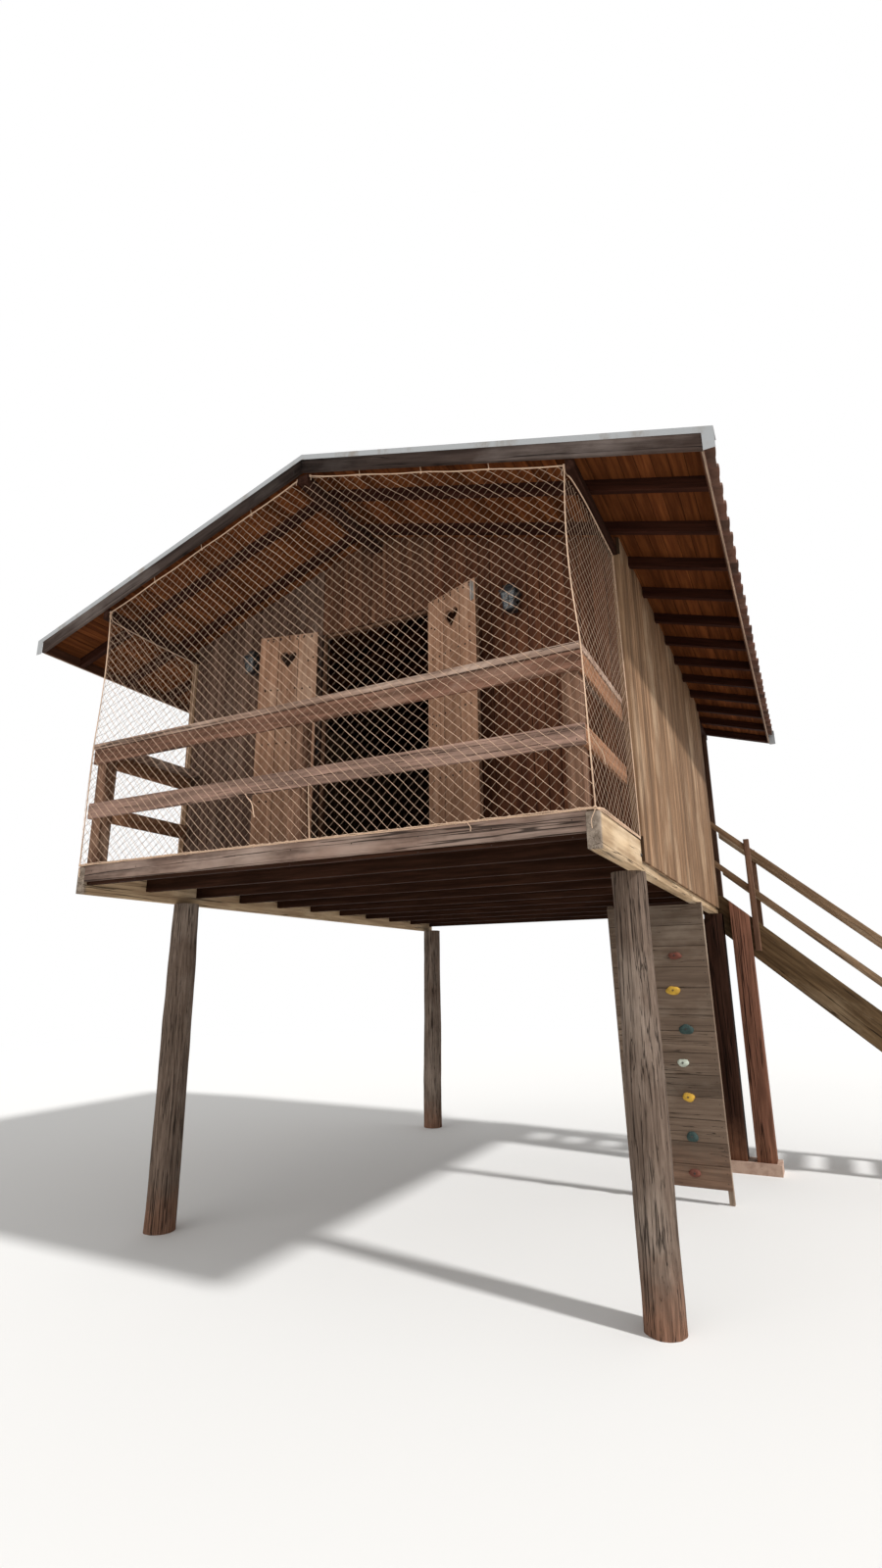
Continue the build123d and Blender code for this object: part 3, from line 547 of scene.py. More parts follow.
@dataclass(frozen=True)
class Finish:
    """A named surface with a main and a second tone."""

    name: str
    body: Triple
    dark: Triple

    def build(self) -> Material:
        """Build the material and return it."""
        material = bpy.data.materials.new(self.name)
        material.use_nodes = True
        tree = Tree(material.node_tree)
        self.paint(tree, tree.node("TexCoord").outputs["Object"])
        return material

    def paint(self, tree: Tree, place: object) -> None:
        """Set the material's shader, each kind of finish in its own way."""
        raise NotImplementedError


@dataclass(frozen=True)
class Timber(Finish):
    """Wood with grain, weathering, and boards, cracks and fades where it has them."""

    pale: Triple
    grain: Grain = Grain.UP
    row: Optional[Row] = None
    weather: float = 0.4
    crack: float = 0.0
    roughness: float = 0.72
    relief: float = 0.0016
    fineness: float = 1.0
    tone: float = 0.35
    gloss: float = 0.10
    folded: bool = False
    fades: tuple[Fade, ...] = ()

    def paint(self, tree: Tree, place: object) -> None:
        """Lay grain, weathering, joints, fades and cracks over one another."""
        if self.folded:
            place = tree.vector("ABSOLUTE", tree.vector("SUBTRACT", place, (ORIGIN.x, 0.0, 0.0)), FLAT)
        along = tree.feed_all(tree.node("Mapping"), Vector=place, Rotation=self.grain.value).outputs["Vector"]
        row = self.row
        boards = None
        if row:
            spacing = {"Start": row.start, "Step": row.step, "Edge": row.edge}
            boards = tree.group(BOARDS, Vector=place, Across=row.across, **spacing)
        grain = tree.group(GRAIN, Vector=along, Shift=boards["Tone"] if row else 0.0, Fineness=self.fineness)
        colour = tree.mix(tree.range(grain["Streaks"], 0.35, 0.68), self.dark, self.body)
        colour = tree.mix(tree.math("MULTIPLY", grain["Rings"], 0.30), colour, self.dark)
        weather = tree.group(WEATHER, Vector=along, Amount=self.weather)
        open_grain = tree.range(grain["Streaks"], 0.2, 0.6, 0.35, 0.95)
        colour = tree.mix(tree.math("MULTIPLY", weather["Bleached"], open_grain), colour, self.pale)
        colour = tree.mix(tree.math("MULTIPLY", weather["Stained"], 0.35), colour, self.dark)
        if row:
            value = tree.math("ADD", 1.0 - self.tone / 2, tree.math("MULTIPLY", boards["Tone"], self.tone))
            toned = tree.feed_all(tree.node("HueSaturation"), Color=colour, Value=value).outputs["Color"]
            colour = tree.mix(tree.math("MULTIPLY", boards["Joint"], row.joint), toned, shaded(self.dark, 0.25))
        for fade in self.fades:
            mask = tree.group(FADES, Vector=place, Axis=fade.axis, Start=fade.start, End=fade.end)["Mask"]
            tinted = tree.mix(tree.range(grain["Streaks"], 0.3, 0.7), shaded(fade.colour, 0.45), fade.colour)
            colour = tree.mix(tree.math("MULTIPLY", mask, fade.strength), colour, tinted)
        height = grain["Height"]
        if self.crack > 0.0:
            sized = tree.vector("SCALE", along, self.fineness)
            crack = tree.group(CRACKS, Vector=sized, Width=self.crack)["Crack"]
            colour = tree.mix(tree.math("MULTIPLY", crack, 0.85), colour, shaded(self.dark, 0.18))
            height = tree.math("SUBTRACT", height, tree.math("MULTIPLY", crack, 1.6))
        rough = tree.range(grain["Pores"], 0.3, 0.7, self.roughness - 0.1, self.roughness + 0.12)
        tree.surface(colour, rough, height, self.relief, Specular_IOR_Level=self.gloss)


@dataclass(frozen=True)
class Clay(Finish):
    """Weathered fired clay, with a tone of its own on each tile."""

    pale: Triple
    roughness: float = 0.86

    def paint(self, tree: Tree, place: object) -> None:
        """Stain the clay and lighten some tiles."""
        broad = tree.noise(place, 5.0, 5.0, 0.6)
        fine = tree.noise(place, 55.0, 4.0, 0.65)
        tone = tree.node("Attribute", attribute_name="tone").outputs["Fac"]
        colour = tree.mix(tree.range(broad, 0.35, 0.65), self.body, self.dark)
        colour = tree.mix(tree.math("MULTIPLY", tone, 0.55), colour, self.pale)
        colour = tree.mix(tree.range(fine, 0.56, 0.74, 0.0, 0.6), colour, self.dark)
        rough = tree.range(fine, 0.3, 0.7, self.roughness - 0.1, self.roughness + 0.08)
        tree.surface(colour, rough, fine, 0.0015)


@dataclass(frozen=True)
class Metal(Finish):
    """Painted or bare metal with stains and small scratches."""

    metallic: float = 0.0
    roughness: float = 0.4
    stains: float = 0.4

    def paint(self, tree: Tree, place: object) -> None:
        """Stain and scratch the metal."""
        broad = tree.noise(place, 7.0, 6.0, 0.65, (1.0, 1.0, 0.5))
        fine = tree.noise(place, 120.0, 3.0, 0.6)
        mask = tree.math("MULTIPLY", tree.range(broad, 0.5, 0.72), self.stains)
        rough = tree.range(fine, 0.3, 0.7, self.roughness - 0.08, self.roughness + 0.14)
        tree.surface(tree.mix(mask, self.body, self.dark), rough, fine, 0.0004, Metallic=self.metallic)


@dataclass(frozen=True)
class Glass(Finish):
    """Clear pane with a little dust of the second tone."""

    def paint(self, tree: Tree, place: object) -> None:
        """Dust the pane."""
        dust = tree.noise(place, 40.0, 4.0, 0.6)
        colour = tree.mix(tree.range(dust, 0.5, 0.75, 0.0, 0.4), self.body, self.dark)
        tree.surface(colour, tree.range(dust, 0.4, 0.7, 0.05, 0.3), Transmission_Weight=0.85, IOR=1.45)


@dataclass(frozen=True)
class Fibre(Finish):
    """Twisted synthetic cord."""

    def paint(self, tree: Tree, place: object) -> None:
        """Darken the twist's hollows with painted shade, and some lengths."""
        twist = tree.noise(place, 260.0, 2.0, 0.5)
        broad = tree.noise(place, 3.0, 3.0, 0.5)
        colour = tree.mix(tree.range(twist, 0.4, 0.7), self.body, self.dark)
        colour = tree.mix(tree.range(broad, 0.5, 0.7, 0.0, 0.35), colour, self.dark)
        tree.surface(colour, tree.range(twist, 0.3, 0.7, 0.75, 0.9), twist, 0.0006)


@dataclass(frozen=True)
class Grit(Finish):
    """Moulded resin or stone with a sandy surface."""

    grit: float = 180.0

    def paint(self, tree: Tree, place: object) -> None:
        """Darken patches and grains."""
        sand = tree.noise(place, self.grit, 4.0, 0.7)
        broad = tree.noise(place, 11.0, 4.0, 0.6)
        colour = tree.mix(tree.range(broad, 0.4, 0.7, 0.0, 0.7), self.body, self.dark)
        colour = tree.mix(tree.range(sand, 0.5, 0.8, 0.0, 0.5), colour, self.dark)
        tree.surface(colour, tree.range(sand, 0.3, 0.7, 0.75, 0.92), sand, 0.0012)


@dataclass
class Palette:
    """Every finish of the cabin, built once."""

    built: dict[Finish, Material] = field(default_factory=dict)

    def get(self, finish: Finish) -> Material:
        """Build a finish the first time it is asked for and return its material."""
        if finish not in self.built:
            self.built[finish] = finish.build()
        return self.built[finish]


PALETTE = Palette()


def hand_over(piece: Piece, finish: Finish, body: str = CABIN, stands_for: str = "") -> None:
    """Dress a finished piece and let it ride on its body.

    Args:
        piece: The finished object.
        finish: Its finish.
        body: The body that carries it.
        stands_for: The CAD node that it replaces, if any.
    """
    piece.data.materials.clear()
    piece.data.materials.append(PALETTE.get(finish))
    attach(piece, body)
    if stands_for:
        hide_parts(stands_for)
    log.info("%s: %d faces on %s", piece.name, len(piece.data.polygons), body)


# Finishes of this cabin


def row_x(start: float, step: float, joint: float = 0.6) -> Row:
    """Boards side by side along X, counted from the centre line."""
    return Row(RIGHTWARD, ORIGIN.x + start, step, joint)


def row_y(start: float, step: float, joint: float = 0.6) -> Row:
    """Boards side by side along Y, counted from the platform's front edge."""
    return Row(REARWARD, ORIGIN.y + start, step, joint)


SOIL = (0.33, 0.15, 0.085)
LOG = Timber(
    "log_timber", (0.205, 0.148, 0.113), (0.112, 0.078, 0.058), (0.34, 0.268, 0.215), weather=0.6, crack=0.022,
    relief=0.006, roughness=0.85, fineness=2.5, fades=(Fade(DOWN, -0.45, -0.02, SOIL, 0.6),),
)
BEAM = Timber(
    "beam_timber", (0.6, 0.435, 0.27), (0.33, 0.22, 0.128), (0.69, 0.545, 0.375), Grain.ALONG_Y, weather=0.5,
    crack=0.01, fineness=0.9,
    fades=(Fade((0.0, -1.0, 0.0), -ORIGIN.y - 0.05, -ORIGIN.y, (0.26, 0.225, 0.2), 0.75),),
)
# Painted light: a pale sunlit strip along the end boards' lower edge.
BOARD = Timber(
    "end_board_timber", (0.3, 0.2, 0.155), (0.105, 0.068, 0.052), (0.42, 0.315, 0.258), Grain.ALONG_X,
    weather=0.6, crack=0.016, fineness=0.9, fades=(Fade(DOWN, -2.745, -2.725, (0.47, 0.34, 0.275), 0.7),),
)
# Painted shade: the joists are darkened to stand for the deep shade under the deck.
JOIST = Timber(
    "joist_timber", (0.05, 0.021, 0.012), (0.022, 0.009, 0.005), (0.105, 0.056, 0.035), Grain.ALONG_X,
    weather=0.25, gloss=0.03,
)
DECK = Timber(
    "deck_timber", (0.165, 0.104, 0.07), (0.07, 0.042, 0.028), (0.27, 0.205, 0.15), Grain.ALONG_Y,
    row_x(-2.12, 4.243 / 35, 0.8), weather=0.5, gloss=0.05,
)
# Painted light: the left front cladding is the same wood as the right part, greyer for the sky light falling on
# it.
FRONT_WALL = Timber(
    "front_cladding", (0.166, 0.103, 0.074), (0.073, 0.04, 0.027), (0.24, 0.169, 0.128),
    row=row_x(-2.12, 1.552 / 15, 0.8), weather=0.5,
)
FRONT_RIGHT = Timber(
    "front_cladding_right", (0.152, 0.058, 0.028), (0.069, 0.024, 0.012), (0.205, 0.098, 0.053),
    row=row_x(HINGE_X, 1.552 / 15, 0.8), weather=0.35,
)
FRONT_OVER = Timber(
    "front_cladding_over", (0.156, 0.071, 0.038), (0.072, 0.03, 0.016), (0.205, 0.113, 0.067),
    row=row_x(-HINGE_X, 1.136 / 11, 0.8), weather=0.3,
)
BACK_WALL = Timber(
    "back_cladding", (0.18, 0.11, 0.074), (0.082, 0.046, 0.029), (0.255, 0.182, 0.132),
    row=row_x(-2.12, 4.24 / 42, 0.8), weather=0.5,
)
SIDE_WALL = Timber(
    "side_cladding", (0.328, 0.198, 0.113), (0.138, 0.075, 0.039), (0.44, 0.312, 0.202),
    row=row_y(1.05, 0.1, 0.9), weather=0.5, tone=0.5,
)
TRIM = Timber("trim_timber", (0.37, 0.235, 0.136), (0.175, 0.1, 0.056), (0.46, 0.33, 0.215), weather=0.35)
FRAME = Timber("frame_timber", (0.215, 0.11, 0.064), (0.095, 0.046, 0.026), (0.3, 0.19, 0.122), weather=0.2)
ROOF_Y = Timber(
    "roof_beam_timber", (0.048, 0.021, 0.014), (0.02, 0.008, 0.005), (0.105, 0.06, 0.043), Grain.ALONG_Y,
    weather=0.25, gloss=0.03,
)
# Painted shade: the rafters are darkened to stand for the deep shade under the roof.
RAFTER = Timber(
    "rafter_timber", (0.05, 0.017, 0.01), (0.023, 0.008, 0.005), (0.095, 0.045, 0.028), Grain.SLOPE,
    weather=0.2, gloss=0.03, folded=True,
)
LINING = Timber(
    "roof_lining", (0.178, 0.057, 0.017), (0.082, 0.024, 0.008), (0.245, 0.096, 0.036), Grain.ALONG_Y,
    Row(RIGHTWARD, 0.0, 2.851 / 29, 0.5), weather=0.25, tone=0.6, gloss=0.02, folded=True,
)
# Painted highlight: a pale strip along the eave boards' lower outer corner, where light catches the edge.
EAVE_CORNER = (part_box("eave_boards")[1][0] - ORIGIN.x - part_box("eave_boards")[0][2]) / ROOT
EAVE_HIGHLIGHT_WAY = (HALF_ROOT, 0.0, -HALF_ROOT)
EAVE = Timber(
    "eave_timber", (0.118, 0.05, 0.028), (0.052, 0.021, 0.012), (0.2, 0.11, 0.07), Grain.ALONG_Y, weather=0.4,
    folded=True,
    fades=(Fade(EAVE_HIGHLIGHT_WAY, EAVE_CORNER - 0.012, EAVE_CORNER - 0.006, (0.6, 0.44, 0.32), 0.9),),
)
BARGE = Timber(
    "barge_timber", (0.092, 0.064, 0.053), (0.038, 0.025, 0.02), (0.18, 0.146, 0.13), Grain.SLOPE, weather=0.55,
    crack=0.01, gloss=0.05, folded=True,
)
RAIL = Timber(
    "rail_timber", (0.3, 0.155, 0.105), (0.112, 0.054, 0.034), (0.43, 0.3, 0.225), Grain.ALONG_X, weather=0.5,
    crack=0.01,
    fades=(
        Fade(DOWN, -3.47, -3.43, (0.44, 0.285, 0.222), 0.75),
        # Painted shadow: a dark strip along the rail's top, under the cap's overhang.
        Fade(UP, 3.842, 3.851, (0.04, 0.02, 0.014), 0.85),
    ),
)
CAP = Timber(
    "rail_cap_timber", (0.5, 0.345, 0.265), (0.215, 0.135, 0.098), (0.6, 0.46, 0.37), Grain.ALONG_X,
    weather=0.6, crack=0.012,
)
RAIL_Y = Timber(
    "rail_timber_side", (0.43, 0.215, 0.118), (0.2, 0.092, 0.047), (0.52, 0.34, 0.222), Grain.ALONG_Y,
    weather=0.35, crack=0.006,
)
POST = Timber("rail_post_timber", (0.285, 0.158, 0.1), (0.115, 0.06, 0.037), (0.395, 0.275, 0.195), weather=0.4)
LEAF = Timber(
    "leaf_timber", (0.45, 0.258, 0.162), (0.258, 0.135, 0.08), (0.53, 0.372, 0.262), weather=0.45, fineness=0.9,
    tone=0.22,
)


@dataclass(frozen=True)
class Leaf:
    """A door leaf: its body, its side (-1 left, 1 right) and its angle from closed, in degrees."""

    body: str
    side: int
    opening: float


LEFT_LEAF = Leaf("left_leaf", -1, 166.0)
RIGHT_LEAF = Leaf("right_leaf", 1, 159.0)


def leaf_finish(leaf: Leaf) -> Timber:
    """Give a leaf three boards side by side, as it stands open."""
    turn = leaf.side * radians(leaf.opening)
    across = Vector((-leaf.side * cos(turn), -leaf.side * sin(turn), 0.0))
    start = at(leaf.side * HINGE_X, HINGE_Y, 0.0).dot(across) + 0.006
    return replace(LEAF, name=leaf.body + "_timber", row=Row(tuple(across), start, LEAF_WIDTH / 3, 0.85, 0.030))


LEAF_LEFT = leaf_finish(LEFT_LEAF)
LEAF_RIGHT = leaf_finish(RIGHT_LEAF)
ENTRY = Timber(
    "entry_timber", (0.29, 0.165, 0.098), (0.135, 0.073, 0.041), (0.38, 0.265, 0.175), row=row_x(0.47, 0.1433),
    weather=0.4,
)
SQUARE = Timber(
    "square_post_timber", (0.056, 0.025, 0.016), (0.024, 0.01, 0.006), (0.14, 0.084, 0.06), weather=0.35,
    crack=0.016, gloss=0.04,
    fades=(
        Fade(RIGHTWARD, ORIGIN.x + 2.19, ORIGIN.x + 2.24, (0.265, 0.118, 0.074), 0.92),
        Fade(DOWN, -0.55, -0.1, SOIL, 0.5),
    ),
)
PORCH_POST = Timber(
    "porch_post_timber", (0.112, 0.058, 0.036), (0.05, 0.023, 0.014), (0.21, 0.138, 0.098), weather=0.35,
    crack=0.01,
)
PANEL = Timber(
    "panel_timber", (0.192, 0.136, 0.098), (0.13, 0.089, 0.063), (0.29, 0.226, 0.172), Grain.ALONG_X,
    Row(UP, PLANK_START, PLANK_WIDTH, 0.85, 0.02), weather=0.55, crack=0.004, tone=0.45,
    fades=(Fade(DOWN, -0.6, -0.12, SOIL, 0.3),),
)
LEG = Timber("leg_timber", (0.3, 0.212, 0.148), (0.125, 0.08, 0.052), (0.42, 0.335, 0.255), weather=0.6)
STRINGER = Timber(
    "stringer_timber", (0.2, 0.126, 0.064), (0.084, 0.05, 0.024), (0.32, 0.23, 0.14), Grain.STAIR, weather=0.45,
    crack=0.01,
)
TREAD = Timber(
    "tread_timber", (0.245, 0.165, 0.098), (0.105, 0.067, 0.04), (0.385, 0.295, 0.2), Grain.ALONG_Y,
    weather=0.6,
)
HANDRAIL = Timber(
    "handrail_timber", (0.35, 0.23, 0.138), (0.165, 0.1, 0.056), (0.48, 0.365, 0.25), Grain.STAIR, weather=0.5,
)
ROOF_CLAY = Clay("roof_clay_finish", (0.175, 0.064, 0.038), (0.068, 0.034, 0.023), (0.265, 0.142, 0.092))
FLASHING = Metal("flashing_paint", (0.37, 0.38, 0.385), (0.235, 0.198, 0.16), 0.0, 0.45, 0.8)
HINGE = Metal("hinge_metal", (0.07, 0.058, 0.052), (0.16, 0.075, 0.042), 0.7, 0.5, 0.7)
BOLT = Metal("bolt_metal", (0.56, 0.545, 0.52), (0.25, 0.215, 0.185), 0.85, 0.38, 0.6)
LANTERN = Metal("lantern_paint", (0.02, 0.02, 0.022), (0.065, 0.055, 0.048), 0.3, 0.42, 0.5)
NAIL = Metal("nail_metal", (0.022, 0.012, 0.009), (0.06, 0.024, 0.014), 0.1, 0.8, 0.6)
PANE = Glass("lantern_pane", (0.42, 0.45, 0.46), (0.6, 0.58, 0.52))
NET = Fibre("net_fibre", (0.72, 0.5, 0.345), (0.43, 0.29, 0.195))
# Painted shade: the same cord as NET, darker for the side nets' falling strands, which hang in the roof's
# shade.
NET_SIDE = Fibre("net_fibre_side", (0.48, 0.33, 0.228), (0.285, 0.192, 0.13))
# Painted shade: the same cord as NET, darker for the rising strands, which the sun grazes along.
NET_SHADED = Fibre("net_fibre_shaded", (0.33, 0.222, 0.152), (0.185, 0.12, 0.082))
FOOTING = Grit("footing_masonry", (0.48, 0.33, 0.25), (0.29, 0.175, 0.125), 60.0)
HOLD_RED = Grit("hold_red_resin", (0.15, 0.042, 0.024), (0.075, 0.024, 0.015), 260.0)
HOLD_TEAL = Grit("hold_teal_resin", (0.027, 0.054, 0.048), (0.015, 0.029, 0.026), 260.0)
HOLD_YELLOW = Grit("hold_yellow_resin", (0.6, 0.35, 0.035), (0.31, 0.165, 0.022), 260.0)
HOLD_PALE = Grit("hold_pale_resin", (0.48, 0.52, 0.43), (0.26, 0.27, 0.215), 260.0)

# Pieces: each gets its finish, and many CAD timbers their edges eased


@dataclass
class Joinery:
    """CAD timbers and metal parts that keep their shape, many of them with eased edges."""

    ease: float = 0.003
    eased: tuple[tuple[Finish, str, str], ...] = (
        (SQUARE, "post_wood", "square_posts"),
        (BEAM, "beam_wood", "side_beams"),
        (BOARD, "board_wood", "end_boards"),
        (JOIST, "joist_wood", "joists"),
        (TRIM, "trim_wood", "corner_trims"),
        (FRAME, "frame_wood", "door_frames"),
        (ROOF_Y, "roof_timber", "ridge_beam wall_plates"),
        (BARGE, "barge_wood", "barge_boards_front barge_boards_rear"),
        (POST, "rail_wood", "rail_posts_front"),
        (RAIL, "rail_wood", "rails_front"),
        (RAIL_Y, "rail_wood", "rails_side"),
        (PORCH_POST, "roof_timber", "porch_posts"),
        (RAIL, "rail_wood", "porch_rails"),
        (TREAD, "stair_wood", "stair_treads"),
        (POST, "stair_wood", "stair_newels"),
        (HANDRAIL, "rail_wood", "stair_rails"),
        (STRINGER, "stair_wood", "stair_stringers"),
    )
    kept: tuple[tuple[Finish, str], ...] = (
        (FOOTING, "post_footing"),
        (DECK, "deck_boards"),
        (FRONT_WALL, "front_wall_left"),
        (FRONT_RIGHT, "front_wall_right"),
        (FRONT_OVER, "front_wall_over"),
        (BACK_WALL, "back_wall"),
        (SIDE_WALL, "left_wall right_wall"),
        (FRAME, "corner_posts"),
        (ENTRY, "entry_door"),
        (RAFTER, "rafters_left rafters_right"),
        (LINING, "roof_lining_left roof_lining_right"),
        (EAVE, "eave_boards"),
        (FLASHING, "gable_flashings"),
        (CAP, "rail_caps"),
        (LEAF_LEFT, "door_leaf_left"),
        (LEAF_RIGHT, "door_leaf_right"),
        (HINGE, "leaf_hinges_left leaf_hinges_right hinge_pins"),
        (BOLT, "door_bolt"),
        (PANEL, "climbing_panel"),
        (LEG, "panel_legs"),
    )

    def dress(self) -> None:
        """Paint the kept nodes and put eased copies in place of the others."""
        for finish, nodes in self.kept:
            for node in nodes.split():
                self.paint(node, finish)
        for finish, slot, nodes in self.eased:
            for node in nodes.split():
                self.round_edges(node, finish)

    def paint(self, node: str, finish: Finish) -> None:
        """Give one CAD node a finish as it stands."""
        materials = frame["nodes"][node].data.materials
        if not materials:
            materials.append(None)
        for index in range(len(materials)):
            materials[index] = PALETTE.get(finish)

    def round_edges(self, node: str, finish: Finish) -> None:
        """Replace one CAD node with a copy whose sharp edges are rounded."""
        twin = copy_of(frame["nodes"][node], node + "_eased")
        twin.parent = None
        with editing(twin, whole=True):
            mesh_ops.remove_doubles(threshold=0.00005)
            mesh_ops.dissolve_limited(angle_limit=radians(1.0))
        modify(twin, "BEVEL", width=self.ease, segments=2, limit_method="ANGLE", angle_limit=radians(40.0))
        hand_over(smooth(twin, 30.0), finish, stands_for=node)


@dataclass
class LogPosts:
    """Round posts with swellings, furrows and flat ends."""

    foot_radius: float = 0.129
    head_radius: float = 0.114
    top: float = 2.665
    sides: int = 56
    rings: int = 80
    lean: float = 0.0558
    spare: float = 0.06

    def build(self) -> None:
        """Model the four posts and let them stand for the CAD posts."""
        places = (
            (-2.015, 1.08, -self.lean / 2, 0.0),
            (2.015, 1.08, self.lean / 2, -self.lean),
            (-1.965, 5.85, 0.0, 0.0),
            (1.965, 5.85, 0.0, 0.0),
        )
        posts = [self.post(index, *place) for index, place in enumerate(places)]
        hand_over(joined(posts, "log_posts_rough"), LOG, stands_for="log_posts")

    def post(self, index: int, x: float, y: float, lean_x: float, lean_y: float) -> Piece:
        """Model one post.

        Args:
            index: Number of the post, which sets its knots.
            x: Head's distance to the right of the centre line.
            y: Head's distance behind the front edge.
            lean_x: How far the foot stands to the right of the head.
            lean_y: How far the foot stands behind the head.

        Returns:
            The post, with its place in its mesh.
        """
        length = self.top + 2 * self.spare
        radii = {"radius1": self.foot_radius, "radius2": self.head_radius}
        post = added(mesh_ops.primitive_cone_add, vertices=self.sides, depth=length, **radii)
        with editing(post, "EDGE") as mesh:
            choose(mesh, mesh.edges, lambda edge: abs(edge.verts[0].co.z - edge.verts[1].co.z) > length / 2)
            mesh_ops.subdivide(number_cuts=self.rings)
        knots = (3.7 * index + 0.4, 1.3 * index, 2.1 * index)
        for size, stretch, depth in ((0.5, (1.0, 1.0, 2.2), 0.030), (0.25, (0.24, 0.24, 5.0), 0.020)):
            ruffle(post, size, knots, stretch, 3, strength=depth, mid_level=0.55)
        post.rotation_mode = "QUATERNION"
        rise = Vector((-lean_x, -lean_y, self.top)).normalized()
        post.rotation_quaternion = Vector(UP).rotation_difference(rise)
        post.location = at(x + lean_x / 2, y + lean_y / 2, self.top / 2)
        applied(post)
        bisect(post, FLAT, UP, use_fill=True, clear_inner=True)
        bisect(post, (0.0, 0.0, self.top), UP, use_fill=True, clear_outer=True)
        return smooth(post, 60.0)


def own_tone(piece: Piece) -> None:
    """Give one tile a tone of its own, which its clay reads."""
    tone = piece.data.attributes.new("tone", "FLOAT", "FACE")
    tone.data.foreach_set("value", [random.random()] * len(piece.data.polygons))


@dataclass
class RoofTiles:
    """Clay tiles with a raised barrel and a flat pan, laid in overlapping courses."""

    columns: int = 30
    courses: int = 9
    start_x: float = 0.03
    end_x: float = 2.935
    front_y: float = -0.046
    back_y: float = 6.075
    flange: float = 0.108
    base: float = 0.101
    edge_shift: float = 0.0442
    lap: float = 0.045
    thickness: float = 0.010
    barrel: float = 0.060
    swell: float = 0.52
    lift: float = 0.011
    curl: float = 0.005
    head_gap: float = 0.004
    overlap: float = 0.012
    widening: float = 0.028
    width: float = field(init=False)
    course: float = field(init=False)

    def build(self) -> None:
        """Tile both slopes and let them stand for the CAD covering."""
        random.seed(11)
        tiled = self.back_y - self.front_y - 2 * self.flange - 2 * self.barrel
        self.width = tiled / (self.columns - 1)
        slope = (self.end_x - self.start_x - self.edge_shift) / cos(PITCH)
        self.course = (slope - self.lap - self.head_gap) / self.courses
        pattern = self.tile()
        verge = self.verge(pattern)
        for side, node in ((1, "roof_tiles_right"), (-1, "roof_tiles_left")):
            tiles = []
            for row in range(self.courses):
                tiles.append(self.laid(verge, side, row, -1))
                tiles += [self.laid(pattern, side, row, column) for column in range(self.columns)]
            hand_over(joined(tiles, node + "_laid"), ROOF_CLAY, stands_for=node)
        remove(pattern)
        remove(verge)

    def tile(self) -> Piece:
        """Model one tile at the origin, its length along X from its head and its width along Y."""
        length = self.course + self.lap
        tile = added(mesh_ops.primitive_plane_add, size=1.0)
        with editing(tile, "VERT") as mesh:
            choose(mesh, mesh.verts, lambda vert: vert.co.y > 0)
            mesh_ops.delete(type="VERT")
        with editing(tile, "VERT", whole=True):
            bpy.ops.transform.resize(value=(length, 1.0, 1.0))
            bpy.ops.transform.translate(value=(length / 2, 0.5 - self.barrel, 0.0))
            mesh_ops.select_all(action="SELECT")
            mesh_ops.spin(steps=8, angle=pi, center=FLAT, axis=RIGHTWARD)
            mesh_ops.select_all(action="SELECT")
            bpy.ops.transform.resize(value=(1.0, 1.0, self.swell), center_override=FLAT)
        with editing(tile, "EDGE") as mesh:
            edge_y = max(vert.co.y for vert in mesh.verts)
            choose(mesh, mesh.edges, lambda edge: all(abs(vert.co.y - edge_y) < 1e-4 for vert in edge.verts))
            pan = (self.width - 2 * self.barrel + self.overlap) / 3
            for drop in (-self.curl, 0.0, self.curl):
                extrude(0.0, pan, drop)
        modify(tile, "SOLIDIFY", thickness=self.thickness, offset=0.0)
        outward(tile)
        return smooth(tile, 50.0)

    def verge(self, pattern: Piece) -> Piece:
        """Cut the barrel off a tile, for the flat strip under a gable's flashing.

        Args:
            pattern: The whole tile.

        Returns:
            The strip, widened towards the gable.
        """
        strip = copy_of(pattern, "verge_pattern")
        cut = self.barrel + 0.002
        bisect(strip, (0.0, cut, 0.0), REARWARD, clear_inner=True, use_fill=True)
        with editing(strip, "VERT") as mesh:
            choose(mesh, mesh.verts, lambda vert: vert.co.y < cut + 0.001)
            bpy.ops.transform.translate(value=(0.0, -self.widening, 0.0))
        return strip

    def laid(self, pattern: Piece, side: int, row: int, column: int) -> Piece:
        """Copy the tile to its place on one slope.

        Args:
            pattern: The tile at the origin.
            side: 1 for the right slope and -1 for the left.
            row: Course, counted from the ridge.
            column: Place along the roof.

        Returns:
            The copy.
        """
        tile = copy_of(pattern, "tile")
        own_tone(tile)
        across = self.front_y + self.flange + self.barrel + column * self.width
        twist = rotate(random.uniform(-0.008, 0.008), 4, "Z")
        wobble = twist @ shift((random.uniform(-0.005, 0.002), 0.0, random.uniform(-0.001, 0.001)))
        tilt = rotate(-asin(self.lift / self.course), 4, "Y")
        flat = shift((row * self.course, across, self.base)) @ tilt @ wobble
        head = shift((self.start_x, 0.0, roof_height(self.start_x))) @ rotate(PITCH, 4, "Y")
        middle = (self.front_y + self.back_y) / 2
        half_turn = shift((0.0, middle, 0.0)) @ rotate(pi, 4, "Z") @ shift((0.0, -middle, 0.0))
        tile.matrix_world = shift(ORIGIN) @ (half_turn if side < 0 else Matrix.Identity(4)) @ head @ flat
        return tile


